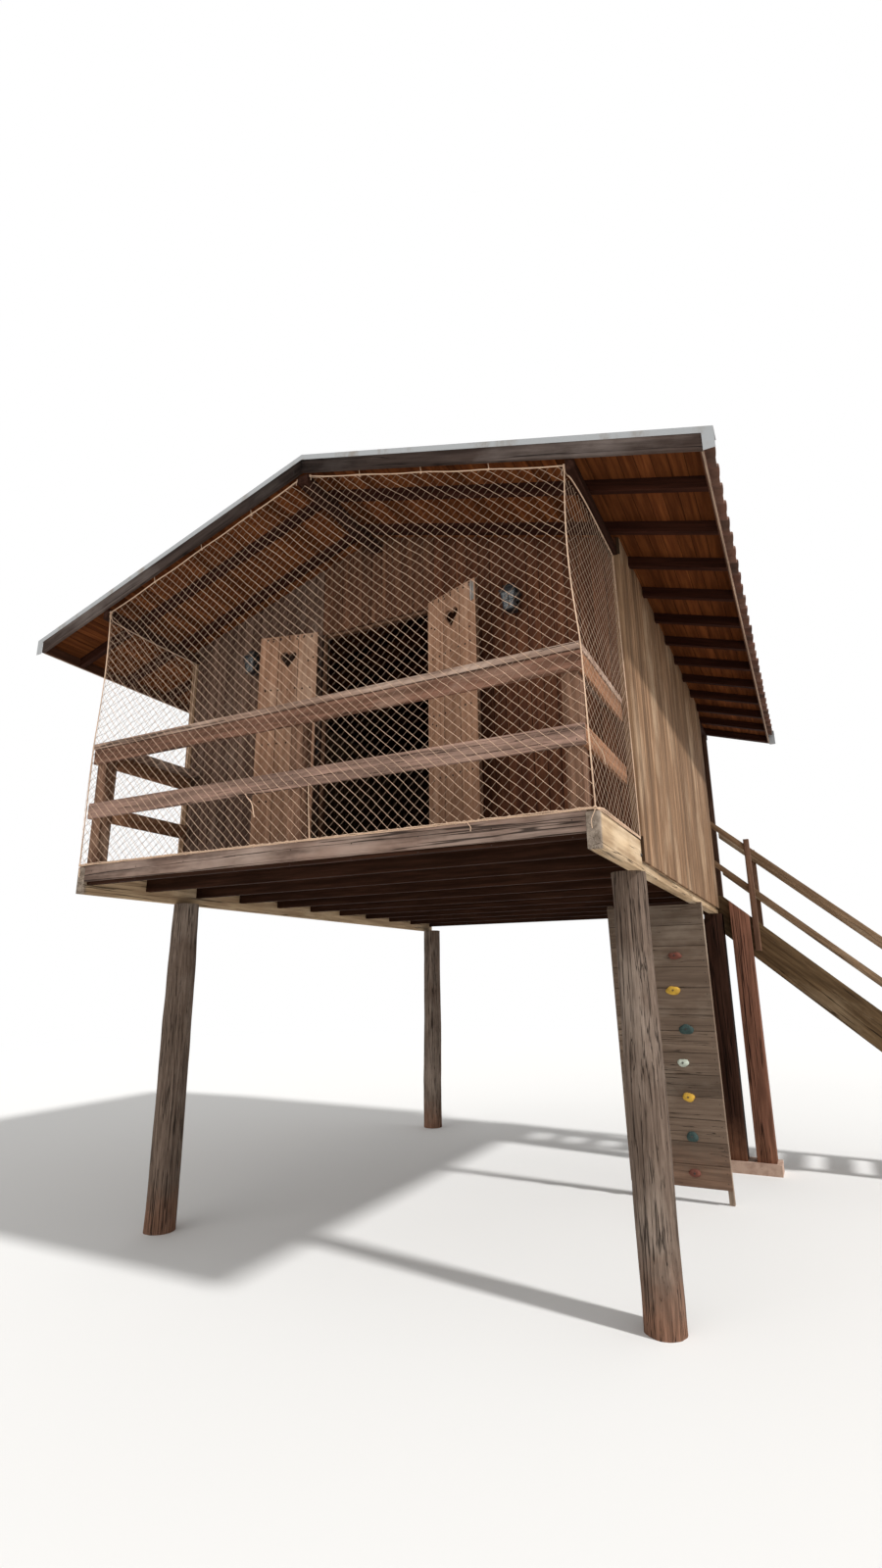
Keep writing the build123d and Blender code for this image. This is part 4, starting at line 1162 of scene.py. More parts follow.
@dataclass
class RidgeTiles:
    """Tapered half-round tiles, each lapped over the narrow end of the one before."""

    count: int = 15
    front_y: float = 0.059
    back_y: float = 5.970
    wide: float = 0.105
    narrow: float = 0.090
    top: float = 5.982
    lap: float = 0.045
    thickness: float = 0.012

    def build(self) -> None:
        """Lay the ridge tiles and let them stand for the CAD ones."""
        random.seed(23)
        pitch = (self.back_y - self.front_y - self.lap) / self.count
        pattern = self.tile(pitch + self.lap)
        tiles = []
        for number in range(self.count):
            tile = copy_of(pattern, "ridge_tile")
            own_tone(tile)
            place = shift(at(0.0, self.front_y + number * pitch, self.top - self.wide))
            tile.matrix_world = place @ rotate(random.uniform(-0.010, 0.010), 4, "Y")
            tiles.append(tile)
        hand_over(joined(tiles, "ridge_tiles_laid"), ROOF_CLAY, stands_for="ridge_tiles")
        remove(pattern)

    def tile(self, length: float) -> Piece:
        """Model one ridge tile along Y, its wide end at the origin.

        Args:
            length: The tile's length.

        Returns:
            The tile.
        """
        size = {"radius1": self.wide, "radius2": self.narrow, "depth": length}
        tile = added(mesh_ops.primitive_cone_add, vertices=28, end_fill_type="NOTHING", **size)
        settle(tile, (-pi / 2, 0.0, 0.0), (0.0, length / 2, 0.0))
        bisect(tile, (0.0, 0.0, -0.004), UP, clear_inner=True)
        modify(tile, "SOLIDIFY", thickness=self.thickness, offset=-1.0)
        modify(tile, "BEVEL", width=0.003, segments=2, angle_limit=radians(60.0))
        outward(tile)
        return smooth(tile, 40.0)


def corner_line(z: float) -> tuple[float, float]:
    """Find where a corner's cord runs at a height, as its distance from the centre line and its depth."""
    if z <= CORD_CAP:
        share = (z - CORD_FOOT) / (CORD_CAP - CORD_FOOT)
        return 2.100 - 0.0197 * share, -0.0043 - 0.018 * share
    share = min((z - CORD_CAP) / (CORD_KNOT - CORD_CAP), 1.0)
    return 2.0803 - 0.0283 * share - 0.030 * sin(pi * share), -0.0223 - 0.0067 * share


@dataclass
class SafetyNet:
    """Diamond net stretched over the balcony's open sides, knotted at its crossings."""

    strand: float = 0.0026
    knot: float = 0.0030
    pitch: float = 0.0552
    squeeze: tuple[float, float] = (1.03, 0.965)
    half: float = 2.100
    foot: float = 2.886
    side_head: float = 5.040
    ridge: float = 5.748
    beam_half: float = 0.056
    beam_foot: float = 5.688
    front_y: float = -0.012
    front_depth: float = -0.026
    foot_rise: float = 0.42
    foot_pull: float = 0.020
    wall_foot: float = 2.1243
    wall_lean: float = 0.0343
    slack: tuple[tuple[str, float, float], ...] = (
        ("X", 0.55, 0.030), ("Z", 0.55, 0.042), ("Y", 0.4, 0.008), ("X", 0.09, 0.008), ("Z", 0.09, 0.008)
    )

    def build(self) -> None:
        """Model the front net and the two side nets, with painted shade: the rising strands and the sides'
        falling strands take darker copies of the cord's finish.
        """
        front, sides = [self.front()], [self.side(1), self.side(-1)]
        for name, nets, falling_finish in (("net_front", front, NET), ("net_sides", sides, NET_SIDE)):
            falling = [self.strands(net, -1) for net in nets] + [self.knots(net) for net in nets]
            rising = [self.strands(net, 1) for net in nets]
            # Painted shade: the falling strands take NET in front and the darker NET_SIDE on the sides, and the
            # rising strands the darker NET_SHADED.
            hand_over(joined(falling, name + "_falling"), falling_finish)
            hand_over(joined(rising, name + "_rising"), NET_SHADED)
            for net in nets:
                remove(net)

    def lattice(self, width: float, height: float) -> Piece:
        """Add a square lattice in the XZ plane, centred on the origin and standing on its corners.

        Args:
            width: Size to cover along X.
            height: Size to cover along Z.

        Returns:
            The lattice.
        """
        wide, tall = self.squeeze
        cells = round((width / wide + height / tall) / ROOT * 1.02 / self.pitch)
        counts = {"x_subdivisions": cells, "y_subdivisions": cells}
        lattice = added(mesh_ops.primitive_grid_add, size=cells * self.pitch, **counts)
        settle(lattice, (pi / 2, pi / 4, 0.0))
        return settle(lattice, scale=(wide, 1.0, tall))

    def cut(self, net: Piece, *planes: tuple[Triple, Triple]) -> None:
        """Cut a net along planes, each a point and a normal, and drop what lies on the normal's side."""
        for point, normal in planes:
            bisect(net, at(*point), normal, clear_outer=True)

    def slacken(self, net: Piece, seed: float) -> None:
        """Pull a net's knots a little out of line."""
        for axis, size, depth in self.slack:
            ruffle(net, size, (seed + depth * 90, seed, seed), WHOLE, 2, direction=axis, strength=depth)

    def knots(self, net: Piece) -> Piece:
        """Tie a knot at each crossing.

        Args:
            net: The net as a flat lattice.

        Returns:
            The knots as one mesh.
        """
        pattern = added(mesh_ops.primitive_uv_sphere_add, segments=4, ring_count=3, radius=self.knot)
        pattern.parent = net
        net.instance_type = "VERTS"
        activate(net)
        bpy.ops.object.duplicates_make_real()
        made = [piece for piece in bpy.context.selected_objects if piece is not net]
        net.instance_type = "NONE"
        made[0].data = made[0].data.copy()
        whole = joined(made, "net_knots")
        remove(pattern)
        return whole

    def strands(self, net: Piece, way: int) -> Piece:
        """Turn the net's edges of one direction into cords.

        Args:
            net: The net as a flat lattice.
            way: 1 for the edges that rise to the right or rear, and -1 for those that fall.

        Returns:
            The cords as one mesh.
        """
        cords = copy_of(net, "net_strands")
        with editing(cords, "EDGE", whole=True):
            mesh_ops.delete(type="ONLY_FACE")
        with editing(cords, "EDGE") as mesh:
            spans = {edge: edge.verts[1].co - edge.verts[0].co for edge in mesh.edges}
            choose(mesh, mesh.edges, lambda edge: (spans[edge].x + spans[edge].y) * spans[edge].z * way <= 0.0)
            mesh_ops.delete(type="EDGE")
        activate(cords)
        bpy.ops.object.convert(target="CURVE")
        bpy.context.object.data.bevel_depth = self.strand / 2
        bpy.context.object.data.bevel_resolution = 0
        bpy.ops.object.convert(target="MESH")
        return smooth(bpy.context.object, 60.0)

    def front(self) -> Piece:
        """Cut the front's lattice to the deck edge, the corners and the roof's two slopes, and return it."""
        net = self.lattice(2 * self.half, self.ridge - self.foot)
        settle(net, place=at(0.0, self.front_depth, (self.ridge + self.foot) / 2))
        self.slacken(net, 3.0)
        fall = (self.ridge - CORD_KNOT) / self.half
        self.cut(
            net,
            ((self.half, 0.0, 0.0), RIGHTWARD),
            ((-self.half, 0.0, 0.0), (-1.0, 0.0, 0.0)),
            ((0.0, 0.0, self.foot), DOWN),
            ((0.0, 0.0, self.ridge), Vector((fall, 0.0, 1.0)).normalized()),
            ((0.0, 0.0, self.ridge), Vector((-fall, 0.0, 1.0)).normalized()),
        )
        with editing(net, "VERT") as mesh:
            half, foot = self.beam_half, self.beam_foot
            choose(mesh, mesh.verts, lambda vert: abs(vert.co.x - ORIGIN.x) < half and vert.co.z > foot)
            mesh_ops.delete(type="VERT")
        with editing(net, "VERT") as mesh:
            for vert in mesh.verts:
                vert.co.x = ORIGIN.x + (vert.co.x - ORIGIN.x) * corner_line(vert.co.z)[0] / self.half
                share = min(max((vert.co.z - self.foot) / self.foot_rise, 0.0), 1.0)
                vert.co.y += (1.0 - share) * self.foot_pull
            bmesh.update_edit_mesh(net.data)
        return net

    def side(self, way: int) -> Piece:
        """Cut and bend the lattice of one side of the balcony.

        Args:
            way: 1 for the right side and -1 for the left.

        Returns:
            The net as a flat lattice.
        """
        height = self.side_head - self.foot
        net = self.lattice(NET_WALL + 0.05, height)
        settle(net, (0.0, 0.0, pi / 2), at(0.0, NET_WALL / 2, (self.side_head + self.foot) / 2))
        self.slacken(net, 5.0 + way)
        self.cut(
            net,
            ((0.0, NET_WALL, 0.0), REARWARD),
            ((0.0, self.front_y, 0.0), (0.0, -1.0, 0.0)),
            ((0.0, 0.0, self.foot), DOWN),
            ((0.0, 0.0, self.side_head), UP),
        )
        with editing(net, "VERT") as mesh:
            for vert in mesh.verts:
                edge = corner_line(vert.co.z)[0]
                wall = self.wall_foot - self.wall_lean * (vert.co.z - self.foot) / height
                share = min(max((vert.co.y - ORIGIN.y - self.front_y) / (NET_WALL - self.front_y), 0.0), 1.0)
                bend = (wall - edge) * (1.0 - (1.0 - share) ** 2)
                vert.co.x = ORIGIN.x + way * (edge + bend) + (vert.co.x - ORIGIN.x) * 0.5
            bmesh.update_edit_mesh(net.data)
        return net


def cord_through(name: str, points: Sequence[Vector], radius: float) -> Piece:
    """Draw a smooth round cord through a route and turn it into a mesh.

    Args:
        name: The cord's name.
        points: Points of its route.
        radius: Half its thickness.

    Returns:
        The cord as a closed mesh.
    """
    data = bpy.data.curves.new(name, "CURVE")
    data.dimensions = "3D"
    data.bevel_depth, data.bevel_resolution, data.resolution_u = radius, 1, 3
    data.use_fill_caps = True
    spline = data.splines.new("NURBS")
    spline.points.add(len(points) - 1)
    for knot, point in zip(spline.points, points):
        knot.co = (*point, 1.0)
    spline.order_u = 3
    spline.use_endpoint_u = True
    activate(linked(name, data))
    bpy.ops.object.convert(target="MESH")
    return smooth(bpy.context.object, 60.0)


@dataclass
class BorderCords:
    """Cords that hold the net: borders with their lashings, knots, lacing and loose ends."""

    border: float = 0.0042
    lashing: float = 0.0024
    stout: float = 0.0030
    half: float = 2.10
    knot_x: float = 2.052
    ridge_x: float = 0.055
    ridge_z: float = 5.742
    deck_z: float = 2.887
    hangers: int = 4

    def build(self) -> None:
        """Run every cord and let them stand for the CAD borders."""
        random.seed(31)
        borders = []
        for way in (1, -1):
            borders += [self.corner(way), self.head(way), *self.side(way), *self.beside_beam(way)]
        border = self.wander((-self.half, -0.006, self.deck_z), (self.half, -0.006, self.deck_z), 60, 0.0022)
        borders.append(self.run("deck_border", border, self.border))
        hand_over(joined(borders, "net_border_cords"), NET, stands_for="net_cords")
        lashings = self.lacing() + self.tufts() + self.loose_ends()
        hand_over(joined(lashings, "net_lashings"), NET)

    def run(self, name: str, points: Sequence[Triple], radius: float, way: int = 1) -> Piece:
        """Draw a round cord through points in cabin coordinates, mirrored where way is -1."""
        return cord_through(name, [at(way * x, y, z) for x, y, z in points], radius)

    def wander(self, start: Triple, end: Triple, count: int, spread: float) -> list[Triple]:
        """Find points between two ends that stray a little from the straight line.

        Args:
            start: First point.
            end: Last point.
            count: Number of steps between them.
            spread: How far a point may stray.

        Returns:
            The points.
        """
        points = []
        for step in range(count + 1):
            line = [low + (high - low) * (step / count) for low, high in zip(start, end)]
            stray = 0.0 if step in (0, count) else spread
            points.append(tuple(value + random.uniform(-stray, stray) for value in line))
        return points

    def corner(self, way: int) -> Piece:
        """Corner cord from the deck to the knot under the eave."""
        levels = (CORD_FOOT, 3.2, 3.6, 3.9, 4.05, 4.25, 4.45, 4.65, 4.85, 5.0, CORD_KNOT)
        return self.run("corner_cord", [(*corner_line(z), z) for z in levels], self.border, way)

    def head(self, way: int) -> Piece:
        """Head cord along one slope, sagging between its hangers."""
        points = []
        for step in range(2 * self.hangers + 1):
            share = step / (2 * self.hangers)
            sag = 0.014 if step % 2 else 0.0
            x = self.knot_x + (self.ridge_x - self.knot_x) * share
            points.append((x, -0.029, CORD_KNOT + (self.ridge_z - CORD_KNOT) * share - sag))
        return self.run("head_cord", points, self.border, way)

    def side(self, way: int) -> list[Piece]:
        """Cord under the wall plate, down the wall corner and along the beam."""
        head, foot = (2.090, NET_WALL, 5.0437), (2.1243, NET_WALL, CORD_FOOT)
        under = [(self.knot_x, -0.026, CORD_KNOT), (self.knot_x, -0.016, 5.055), (2.075, 0.02, 5.043),
                 (2.090, 0.3, 5.040), (2.090, 0.7, 5.040), head]
        down = [head, (2.104, NET_WALL, 4.3), (2.118, NET_WALL, 3.5), foot]
        back = [foot, (2.127, 0.6, 2.881), (2.126, 0.25, 2.883), (2.100, -0.0043, CORD_FOOT)]
        return [self.run("side_cord", route, self.border, way) for route in (under, down, back)]

    def beside_beam(self, way: int) -> list[Piece]:
        """Loose parallel cords along the beam's top edge."""
        cords = []
        for rise, out in ((0.010, 0.001), (-0.006, 0.003), (-0.015, 0.001), (0.003, 0.004)):
            end = (2.1265, NET_WALL, self.deck_z + rise / 2)
            points = self.wander((2.1265 + out, 0.02, self.deck_z + rise), end, 7, 0.0016)
            cords.append(self.run("beam_cord", [(self.half, -0.005, 2.889), *points], self.lashing, way))
        return cords

    def tie(self, point: Triple, size: float) -> list[Piece]:
        """Knot of crossing turns at a point in cabin coordinates."""
        turns = []
        for _ in range(3):
            angles = (random.uniform(0.0, pi), random.uniform(0.3, 1.2), random.uniform(0.0, pi))
            spot = {"location": at(*point), "rotation": angles}
            ring = {"major_radius": size, "minor_radius": self.lashing}
            steps = {"major_segments": 12, "minor_segments": 6}
            turns.append(added(mesh_ops.primitive_torus_add, **spot, **ring, **steps))
        return turns

    def tail(self, point: Triple, length: float, lean: float) -> Piece:
        """Loose end that hangs from a point."""
        x, y, z = point
        bends = ((0.35, 0.004, 0.25), (1.0, 0.006, 0.6), (0.8, 0.004, 1.0))
        points = [(x + lean * aside, y - out, z - drop * length) for aside, out, drop in bends]
        return self.run("loose_end", [point, *points], self.lashing)

    def tufts(self) -> list[Piece]:
        """Knots at the corners and the ridge, and the hangers of the head cord."""
        pieces = []
        for way in (1, -1):
            knot = (way * self.knot_x, -0.027, CORD_KNOT)
            pieces += self.tie(knot, 0.011) + self.tie((way * 2.098, -0.007, 2.890), 0.010)
            pieces += [self.tail(knot, 0.07, -way * 0.022), self.tail(knot, 0.05, way * 0.004)]
            for step in range(1, self.hangers):
                share = step / self.hangers
                x, z = way * self.knot_x * (1.0 - share), CORD_KNOT + (self.ridge_z - CORD_KNOT) * share
                pieces += self.tie((x, -0.029, z), 0.007)
                hanger = [(x, -0.030, z), (x + 0.003, -0.036, z + 0.02), (x, -0.042, z + 0.045)]
                pieces.append(self.run("hanger", hanger, self.lashing))
        for way in (1, -1):
            ridge = (way * (self.ridge_x + 0.004), -0.029, self.ridge_z)
            pieces += self.tie(ridge, 0.008) + [self.tail(ridge, 0.045, way * 0.012)]
        return pieces

    def lacing(self) -> list[Piece]:
        """Untidy lacing of the net's foot along the deck's front edge."""
        ends = (-self.half, -0.010, 2.893), (self.half, -0.010, 2.893)
        pieces = [self.run("lacing", self.wander(*ends, 95, 0.0055), self.lashing) for _ in range(2)]
        x = -2.08
        while x < 2.08:
            turn = (pi / 2 + random.uniform(-0.5, 0.5), random.uniform(-0.6, 0.6), random.uniform(-0.5, 0.5))
            spot = {"location": at(x, -0.009, 2.891), "rotation": turn}
            ring = {"major_radius": random.uniform(0.006, 0.011), "minor_radius": 0.0018}
            steps = {"major_segments": 9, "minor_segments": 5}
            pieces.append(added(mesh_ops.primitive_torus_add, **spot, **ring, **steps))
            x += random.uniform(0.045, 0.085)
        return pieces

    def loose_ends(self) -> list[Piece]:
        """Loose ends and a stay between the lower rail and the deck."""
        stay = [(0.141, -0.0145, 3.268), (0.147, -0.017, 3.12), (0.159, -0.008, 2.900)]
        front = [(-0.410, -0.0145, 3.275), (-0.400, -0.022, 3.25), (-0.345, -0.026, 3.205),
                 (-0.322, -0.027, 3.15), (-0.313, -0.024, 3.09)]
        right = [(2.092, 0.03, 3.33), (2.104, 0.12, 3.285), (2.118, 0.20, 3.26), (2.121, 0.21, 3.19)]
        return [
            self.run("stay", stay, 0.0034),
            self.run("loose_end", front, self.stout),
            self.run("loose_end", right, self.stout),
            self.tail((2.101, -0.009, CORD_FOOT), 0.11, -0.03),
            self.tail((-2.101, -0.009, CORD_FOOT), 0.09, 0.02),
            self.tail((1.32, -0.012, 2.889), 0.06, 0.03),
        ]


def head_pattern(radius: float, rise: float, sides: int) -> Piece:
    """Model a low domed fastener head that faces -Y, at the origin."""
    size = {"radius1": radius, "radius2": radius * 0.62, "depth": rise}
    head = added(mesh_ops.primitive_cone_add, vertices=sides, **size)
    return settle(head, (pi / 2, 0.0, 0.0), (0.0, -rise / 2, 0.0))


class Facing(Enum):
    """Way that a fastener's head faces, as its turn about Z."""

    FRONT = 0.0
    RIGHT = pi / 2
    BACK = pi
    LEFT = -pi / 2


SIDES = ((1, Facing.RIGHT), (-1, Facing.LEFT))
Spot = tuple[Triple, Facing, float]


@dataclass
class LeafNails:
    """Rows of dark nail heads through the door leaves' boards, at their ledges."""

    radius: float = 0.0088
    levels: tuple[float, ...] = (4.990, 4.970, 4.485, 3.984, 3.468, 2.960)
    row: tuple[float, ...] = (0.069, 0.140, 0.205, 0.277, 0.362, 0.434, 0.492)
    pairs: tuple[tuple[float, float], ...] = (
        (0.047, 4.764), (0.092, 4.737), (0.058, 3.931), (0.098, 3.908),
        (0.064, 3.234), (0.110, 3.199), (0.496, 4.611), (0.492, 4.496),
    )
    face: float = 0.0558

    def build(self) -> None:
        """Set the nails of both leaves."""
        pattern = head_pattern(self.radius, 0.0026, 8)
        for leaf in (LEFT_LEAF, RIGHT_LEAF):
            self.set_in(leaf, pattern)
        remove(pattern)

    def set_in(self, leaf: Leaf, pattern: Piece) -> None:
        """Set the nails of one leaf on its inner face.

        Args:
            leaf: The leaf.
            pattern: The nail head.
        """
        random.seed(leaf.side + 5)
        hinge = shift(at(leaf.side * HINGE_X, HINGE_Y, 0.0))
        hinge = hinge @ rotate(leaf.side * radians(leaf.opening), 4, "Z")
        places = [(across, level) for level in self.levels for across in self.row]
        nails = []
        for across, level in places + list(self.pairs):
            nail = copy_of(pattern, "nail")
            x = -leaf.side * (across + random.uniform(-0.005, 0.005))
            z = level + random.uniform(-0.006, 0.006)
            turn = rotate(Facing.BACK.value, 4, "Z")
            nail.matrix_world = hinge @ shift((x, self.face, z)) @ turn
            nails.append(nail)
        hand_over(joined(nails, leaf.body + "_nails"), NAIL, leaf.body)


@dataclass
class Fasteners:
    """Nails, screws and coach bolts that hold the boards, rails and stair.

    Each spot gives a head's place, the way it faces and its tilt back.
    """

    nail: float = 0.0042
    bolt: float = 0.014
    rail_levels: tuple[float, ...] = (3.300, 3.360, 3.745, 3.815)

    def build(self) -> None:
        """Set nails and bolts in their rows."""
        nails = self.fascia() + self.rails() + self.panel() + self.caps()
        self.place("board_nails", head_pattern(self.nail, 0.0016, 7), nails, NAIL)
        self.place("coach_bolts", head_pattern(self.bolt, 0.0080, 12), self.bolts(), HINGE)

    def place(self, name: str, pattern: Piece, spots: Sequence[Spot], finish: Finish) -> None:
        """Copy a head to its spots and hand the row over.

        Args:
            name: The row's name.
            pattern: One head.
            spots: Where the heads go.
            finish: The heads' finish.
        """
        heads = []
        for point, facing, tilt in spots:
            head = copy_of(pattern, "head")
            turned = shift(at(*point)) @ rotate(facing.value, 4, "Z")
            head.matrix_world = turned @ rotate(tilt, 4, "X")
            heads.append(head)
        hand_over(joined(heads, name), finish)
        remove(pattern)

    def fascia(self) -> list[Spot]:
        """Pairs of nails along the front fascia."""
        return [((-1.96 + step * 0.49, 0.0, z), Facing.FRONT, 0.0) for step in range(9) for z in (2.735, 2.835)]

    def rails(self) -> list[Spot]:
        """Nails through the front and side rails into their posts."""
        spots = [((x, -0.012, z), Facing.FRONT, 0.0) for x in (-2.02, 0.0, 2.02) for z in self.rail_levels]
        for way, facing in SIDES:
            spots += [((way * 2.070, y, z), facing, 0.0) for y in (0.055, 1.005) for z in self.rail_levels]
        return spots

    def panel(self) -> list[Spot]:
        """Two nails at each end of each plank of the climbing panel."""
        shares = [plank + part for plank in range(PLANKS) for part in (0.28, 0.72)]
        places = [(x, PLANK_START + PLANK_WIDTH * share) for share in shares for x in (1.292, 2.128)]
        tilt = -atan(PANEL_LEAN)
        return [((x, PANEL_FOOT - PANEL_LEAN * z, z), Facing.FRONT, tilt) for x, z in places]

    def caps(self) -> list[Spot]:
        """Nails down through the rail's cap."""
        places = [(x, 0.05 + shift) for x in (-2.0, -1.0, 0.0, 1.0, 2.0) for shift in (-0.03, 0.03)]
        return [((x, y, CORD_CAP), Facing.FRONT, -pi / 2) for x, y in places]

    def bolts(self) -> list[Spot]:
        """Coach bolts through the beams into the logs."""
        depths = (1.03, 1.13, 5.80, 5.90)
        return [((way * 2.120, y, 2.77), facing, 0.0) for way, facing in SIDES for y in depths]


@dataclass
class Lanterns:
    """Four-sided wall lanterns: glazed cage with bars, stepped hood, foot and bracket."""

    offset: float = 1.290
    centre_y: float = 0.955
    wall_y: float = 1.050
    level: float = 4.850
    hood_steps: tuple[tuple[float, float], ...] = (
        (0.026, 0.52), (0.006, 0.86), (0.014, 1.0), (0.004, 1.5), (0.010, 0.42)
    )

    def build(self) -> None:
        """Model both lanterns and let them stand for the CAD ones."""
        frames = []
        panes = []
        for way in (1, -1):
            place = at(way * self.offset, self.centre_y, self.level)
            frames += [part(place) for part in (self.cage, self.hood, self.foot, self.back_plate, self.arm)]
            panes.append(self.pane(place))
        hand_over(joined(frames, "lantern_cages"), LANTERN, stands_for="lantern_frames")
        hand_over(joined(panes, "lantern_panes"), PANE, stands_for="lantern_glass")

    def frustum(self, place: Vector, low: float, high: float, half_low: float, half_high: float) -> Piece:
        """Add an upright four-sided frustum.

        Args:
            place: The lantern's centre.
            low: Its foot, from the centre.
            high: Its head, from the centre.
            half_low: Half its width at the foot.
            half_high: Half its width at the head.

        Returns:
            The frustum.
        """
        size = {"radius1": half_low * ROOT, "radius2": half_high * ROOT, "depth": high - low}
        piece = added(mesh_ops.primitive_cone_add, vertices=4, **size)
        return settle(piece, (0.0, 0.0, pi / 4), place + Vector((0.0, 0.0, (low + high) / 2)))

    def cage(self, place: Vector) -> Piece:
        """Cage of corner bars with a cross bar in each side."""
        cage = self.frustum(place, -0.100, 0.052, 0.042, 0.062)
        with editing(cage) as mesh:
            choose(mesh, mesh.faces, lambda face: abs(face.normal.z) < 0.5)
            mesh_ops.inset(thickness=0.007, use_individual=True)
            mesh_ops.subdivide(number_cuts=1)
        with editing(cage) as mesh:
            middle = [face for face in mesh.faces if abs(face.normal.z) < 0.5 and len(face.verts) == 4]
            areas = sorted((face.calc_area() for face in middle), reverse=True)
            least = areas[min(15, len(areas) - 1)] * 0.98
            choose(mesh, mesh.faces, lambda face: face in middle and face.calc_area() >= least)
            mesh_ops.inset(thickness=0.0018, use_individual=True)
            mesh_ops.delete(type="FACE")
        modify(cage, "SOLIDIFY", thickness=0.004, offset=-1.0)
        return cage

    def pane(self, place: Vector) -> Piece:
        """Glazing just inside the cage."""
        pane = self.frustum(place, -0.098, 0.050, 0.0370, 0.0565)
        modify(pane, "SOLIDIFY", thickness=0.0025, offset=-1.0)
        return pane

    def hood(self, place: Vector) -> Piece:
        """Hood with a lip, a chimney and a small knob."""
        hood = self.frustum(place, 0.050, 0.058, 0.072, 0.073)
        with editing(hood) as mesh:
            choose(mesh, mesh.faces, lambda face: face.normal.z > 0.9)
            for rise, scale in self.hood_steps:
                extrude(0.0, 0.0, rise)
                bpy.ops.transform.resize(value=(scale, scale, 1.0))
        self.round_off(hood, 0.002)
        top = place + Vector((0.0, 0.0, 0.1245))
        knob = added(mesh_ops.primitive_uv_sphere_add, segments=10, ring_count=6, radius=0.008, location=top)
        return joined([hood, knob], "lantern_hood")

    def foot(self, place: Vector) -> Piece:
        """Foot plate with a stepped underside."""
        foot = self.frustum(place, -0.104, -0.098, 0.046, 0.047)
        with editing(foot) as mesh:
            choose(mesh, mesh.faces, lambda face: face.normal.z < -0.9)
            mesh_ops.inset(thickness=0.012)
            extrude(0.0, 0.0, -0.008)
            bpy.ops.transform.resize(value=(0.6, 0.6, 1.0))
        return self.round_off(foot, 0.0015)

    def back_plate(self, place: Vector) -> Piece:
        """Oval plate on the wall."""
        plate = added(mesh_ops.primitive_cylinder_add, vertices=24, radius=0.030, depth=0.006)
        spot = (place.x, ORIGIN.y + self.wall_y - 0.003, place.z + 0.045)
        return self.round_off(settle(plate, (pi / 2, 0.0, 0.0), spot, (1.0, 1.9, 1.0)), 0.002)

    def arm(self, place: Vector) -> Piece:
        """Bent bracket from the plate to the hood."""
        wall = ORIGIN.y + self.wall_y - 0.004
        route = [(wall, 0.020), (wall - 0.030, 0.018), (wall - 0.040, 0.080), (wall - 0.046, 0.118),
                 (place.y + 0.030, 0.122), (place.y + 0.004, 0.112)]
        return cord_through("lantern_arm", [Vector((place.x, y, place.z + rise)) for y, rise in route], 0.0042)

    def round_off(self, piece: Piece, width: float) -> Piece:
        """Round a metal part's sharp edges and return it."""
        modify(piece, "BEVEL", width=width, segments=2, angle_limit=radians(35.0))
        return smooth(piece)


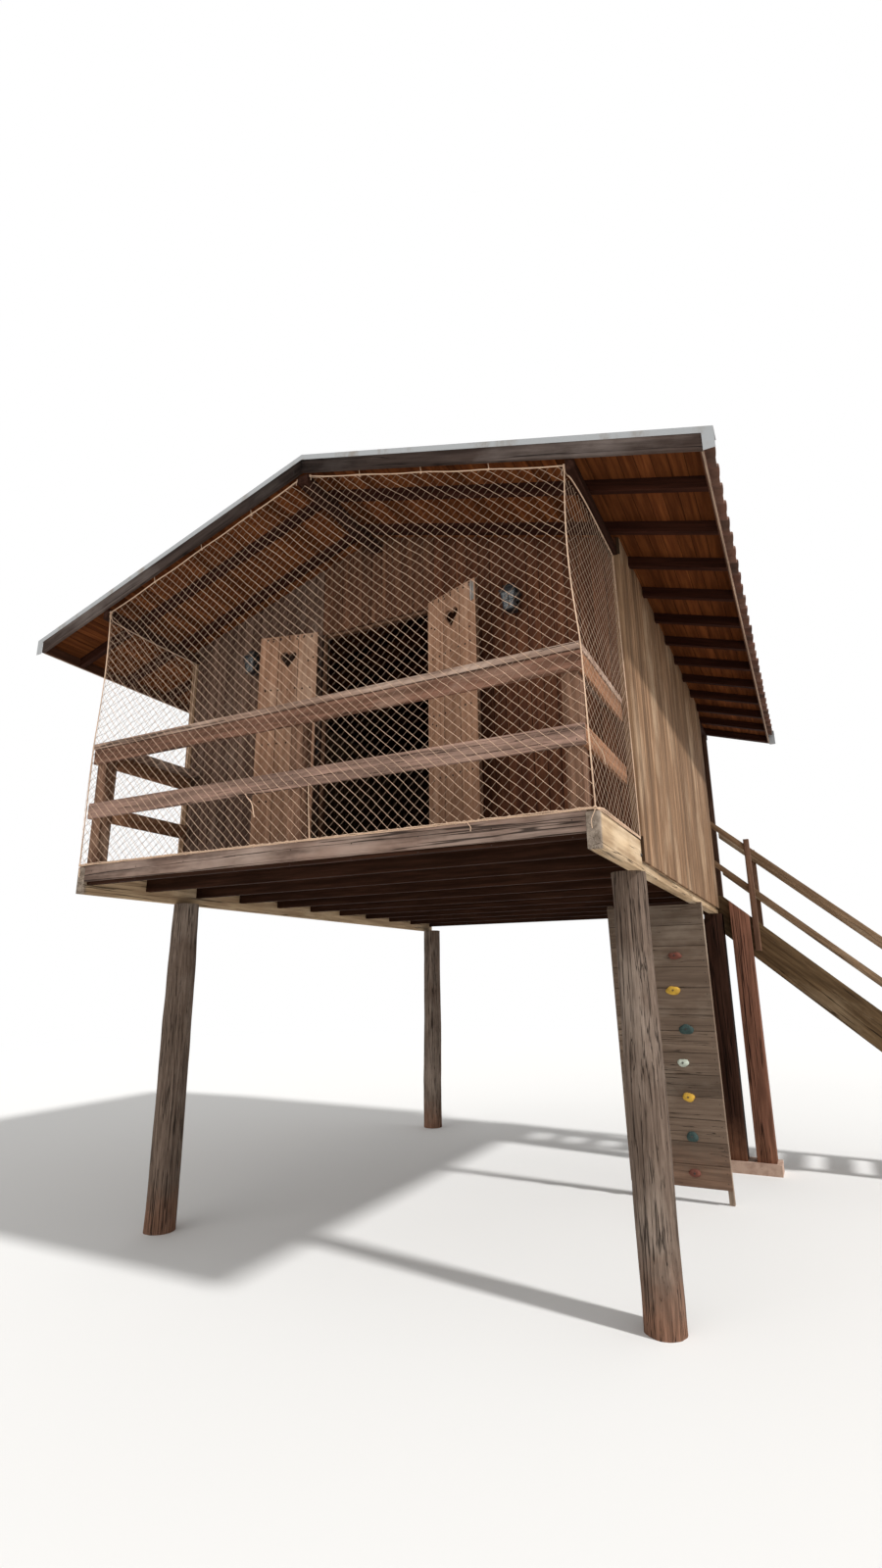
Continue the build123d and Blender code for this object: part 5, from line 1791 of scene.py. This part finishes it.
@dataclass
class ClimbingHolds:
    """Moulded holds of four colours, each with its bolt, in two columns on the panel."""

    size: float = 0.128
    height: float = 0.045
    levels: tuple[float, ...] = (0.250, 0.560, 0.900, 1.200, 1.500, 1.850, 2.170)
    sways: tuple[float, ...] = (-0.010, 0.0, 0.003, -0.014, 0.045, -0.035, 0.010)
    columns: tuple[tuple[float, float, tuple[int, ...]], ...] = (
        (1.860, 0.0, (0, 1, 2, 3, 1, 2, 0)),
        (1.520, 0.140, (2, 0, 3, 1, 0, 3, 2)),
    )
    colours: tuple[tuple[str, Finish], ...] = (
        ("red", HOLD_RED), ("teal", HOLD_TEAL), ("yellow", HOLD_YELLOW), ("pale", HOLD_PALE)
    )

    def build(self) -> None:
        """Model the holds and let them stand for the CAD ones."""
        piles: list[list[Piece]] = [[] for _ in self.colours]
        bolts = []
        for column, lift, tones in self.columns:
            for index, (level, tone, sway) in enumerate(zip(self.levels, tones, self.sways)):
                z = level + lift
                place = shift(at(column + sway, PANEL_FOOT - PANEL_LEAN * z, z))
                place = place @ rotate(-atan(PANEL_LEAN), 4, "X")
                piles[tone].append(self.hold(index + 7 * tone))
                bolts.append(self.bolt())
                piles[tone][-1].matrix_world = bolts[-1].matrix_world = place
        for (name, finish), pile in zip(self.colours, piles):
            hand_over(joined(pile, "holds_" + name), finish, stands_for="climbing_holds")
        hand_over(joined(bolts, "hold_bolts"), HINGE)

    def hold(self, shape: int) -> Piece:
        """Model one hold on the XZ plane, standing out towards -Y.

        Args:
            shape: Number that sets the hold's outline.

        Returns:
            The hold at the origin.
        """
        wide = self.size * (0.85 + 0.07 * (shape % 4))
        tall = self.size * (0.55 + 0.08 * (shape % 3))
        hold = added(mesh_ops.primitive_uv_sphere_add, segments=20, ring_count=12, radius=0.5)
        settle(hold, scale=(wide, 2 * self.height * 0.92, tall))
        bisect(hold, FLAT, (0.0, -1.0, 0.0), clear_inner=True, use_fill=True)
        with editing(hold, "VERT") as mesh:
            for vert in mesh.verts:
                if vert.co.length > 1e-5:
                    self.mould(vert.co, shape, wide, tall)
            bmesh.update_edit_mesh(hold.data)
        return smooth(hold, 50.0)

    def mould(self, point: Vector, shape: int, wide: float, tall: float) -> None:
        """Move one point of a hold for its lumps, its grip and the hollow round its bolt.

        Args:
            point: The point, which is changed.
            shape: Number that sets the hold's outline.
            wide: The hold's width.
            tall: The hold's height on the panel.
        """
        lump = sin(3.1 * point.x / self.size * 3 + shape) * cos(2.3 * point.z / self.size * 3 + 0.7 * shape)
        grip = max(0.0, point.z / tall) * max(0.0, -point.y / self.height)
        point.x *= 1.0 + 0.10 * lump
        point.z *= 1.0 + 0.08 * lump
        point.y *= 1.0 + 0.10 * grip
        away = (point.x ** 2 + (point.z - 0.1 * tall) ** 2) ** 0.5
        hollow = max(0.0, 1.0 - away / (0.30 * wide))
        point.y += 0.30 * self.height * hollow * (1.0 if point.y < -0.01 else 0.0)

    def bolt(self) -> Piece:
        """Model a socket bolt head for the hold's hollow, facing -Y, at the origin."""
        bolt = added(mesh_ops.primitive_cylinder_add, vertices=12, radius=0.0085, depth=0.012)
        settle(bolt, (pi / 2, 0.0, 0.0), (0.0, -self.height * 0.68, 0.0))
        with editing(bolt) as mesh:
            choose(mesh, mesh.faces, lambda face: face.normal.y < -0.9)
            mesh_ops.inset(thickness=0.004)
            extrude(0.0, 0.006, 0.0)
        return bolt


@dataclass
class Studio:
    """Camera at the photograph's place, pale floor and soft light."""

    eye: Triple = (3.103, -3.911, 1.986)
    yaw: float = 26.61
    pitch: float = 14.89
    roll: float = -0.61
    focal: float = 745.6
    photo_height: float = 1600.0
    film: float = 36.0
    ambient: float = 0.58

    def build(self) -> None:
        """Set up camera, light, world and floor."""
        self.camera()
        self.light()
        self.world()
        self.floor()
        bpy.context.scene.view_settings.view_transform = "Standard"

    def camera(self) -> None:
        """Place the camera."""
        yaw, pitch, roll = (radians(value) for value in (self.yaw, self.pitch, self.roll))
        right = Vector((cos(yaw), sin(yaw), 0.0))
        forward = Vector((-sin(yaw) * cos(pitch), cos(yaw) * cos(pitch), sin(pitch)))
        up = right.cross(forward)
        turned = right * cos(roll) + up * sin(roll)
        raised = up * cos(roll) - right * sin(roll)
        data = bpy.data.cameras.new("camera")
        data.sensor_fit = "VERTICAL"
        data.sensor_height = self.film
        data.lens = self.focal / self.photo_height * self.film
        data.clip_end = 200.0
        camera = linked("camera", data)
        axes = Matrix((turned, raised, -forward)).transposed().to_4x4()
        camera.matrix_world = shift(at(*self.eye)) @ axes
        bpy.context.scene.camera = camera

    def light(self) -> None:
        """Add a sun from the right that grazes the front, and a weak wide one from ahead."""
        suns = (("key", 3.1, 4.0, (-1.0, 0.14, -0.93)), ("fill", 0.75, 60.0, (0.25, 0.90, -0.25)))
        for name, energy, angle, direction in suns:
            data = bpy.data.lights.new(name, "SUN")
            data.energy = energy
            data.angle = radians(angle)
            lamp = linked(name, data)
            lamp.rotation_mode = "QUATERNION"
            lamp.rotation_quaternion = Vector(direction).to_track_quat("-Z", "Y")

    def world(self) -> None:
        """Light evenly from all round, and show white to the camera and through glass."""
        world = bpy.data.worlds.new("studio")
        world.use_nodes = True
        bpy.context.scene.world = world
        tree = Tree(world.node_tree)
        path = tree.node("LightPath").outputs
        seen = tree.math("MAXIMUM", path["Is Camera Ray"], path["Is Transmission Ray"])
        strength = tree.math("ADD", self.ambient, tree.math("MULTIPLY", seen, 1.0 - self.ambient))
        tree.feed_all(tree.tree.nodes["Background"], Strength=strength, Color=(1.0, 1.0, 1.0))

    def floor(self) -> None:
        """Lay a pale floor that fades to white far from the cabin."""
        floor = added(mesh_ops.primitive_circle_add, vertices=64, radius=60.0, fill_type="NGON")
        floor.name = "floor"
        material = bpy.data.materials.new("floor")
        material.use_nodes = True
        floor.data.materials.append(material)
        tree = Tree(material.node_tree)
        tree.surface((0.80, 0.79, 0.77), 0.9)
        place = tree.node("TexCoord").outputs["Object"]
        length = tree.feed_all(tree.node("VectorMath", operation="LENGTH"), place)
        far = tree.range(length.outputs["Value"], 9.0, 24.0)
        share = tree.math("MULTIPLY", far, tree.node("LightPath").outputs["Is Camera Ray"])
        white = tree.feed_all(tree.node("Emission"), Color=(1.0, 1.0, 1.0)).outputs["Emission"]
        nodes = tree.tree.nodes
        mixer = tree.feed_all(tree.node("MixShader"), share, nodes["Principled BSDF"].outputs["BSDF"], white)
        tree.feed_all(nodes["Material Output"], Surface=mixer.outputs[0])


def main() -> None:
    """Build the studio and every piece in order."""
    logging.basicConfig(level=logging.INFO, format="%(name)s: %(message)s")
    Studio().build()
    Joinery().dress()
    LogPosts().build()
    RoofTiles().build()
    RidgeTiles().build()
    SafetyNet().build()
    BorderCords().build()
    LeafNails().build()
    Fasteners().build()
    Lanterns().build()
    ClimbingHolds().build()


if __name__ == "__main__":
    main()
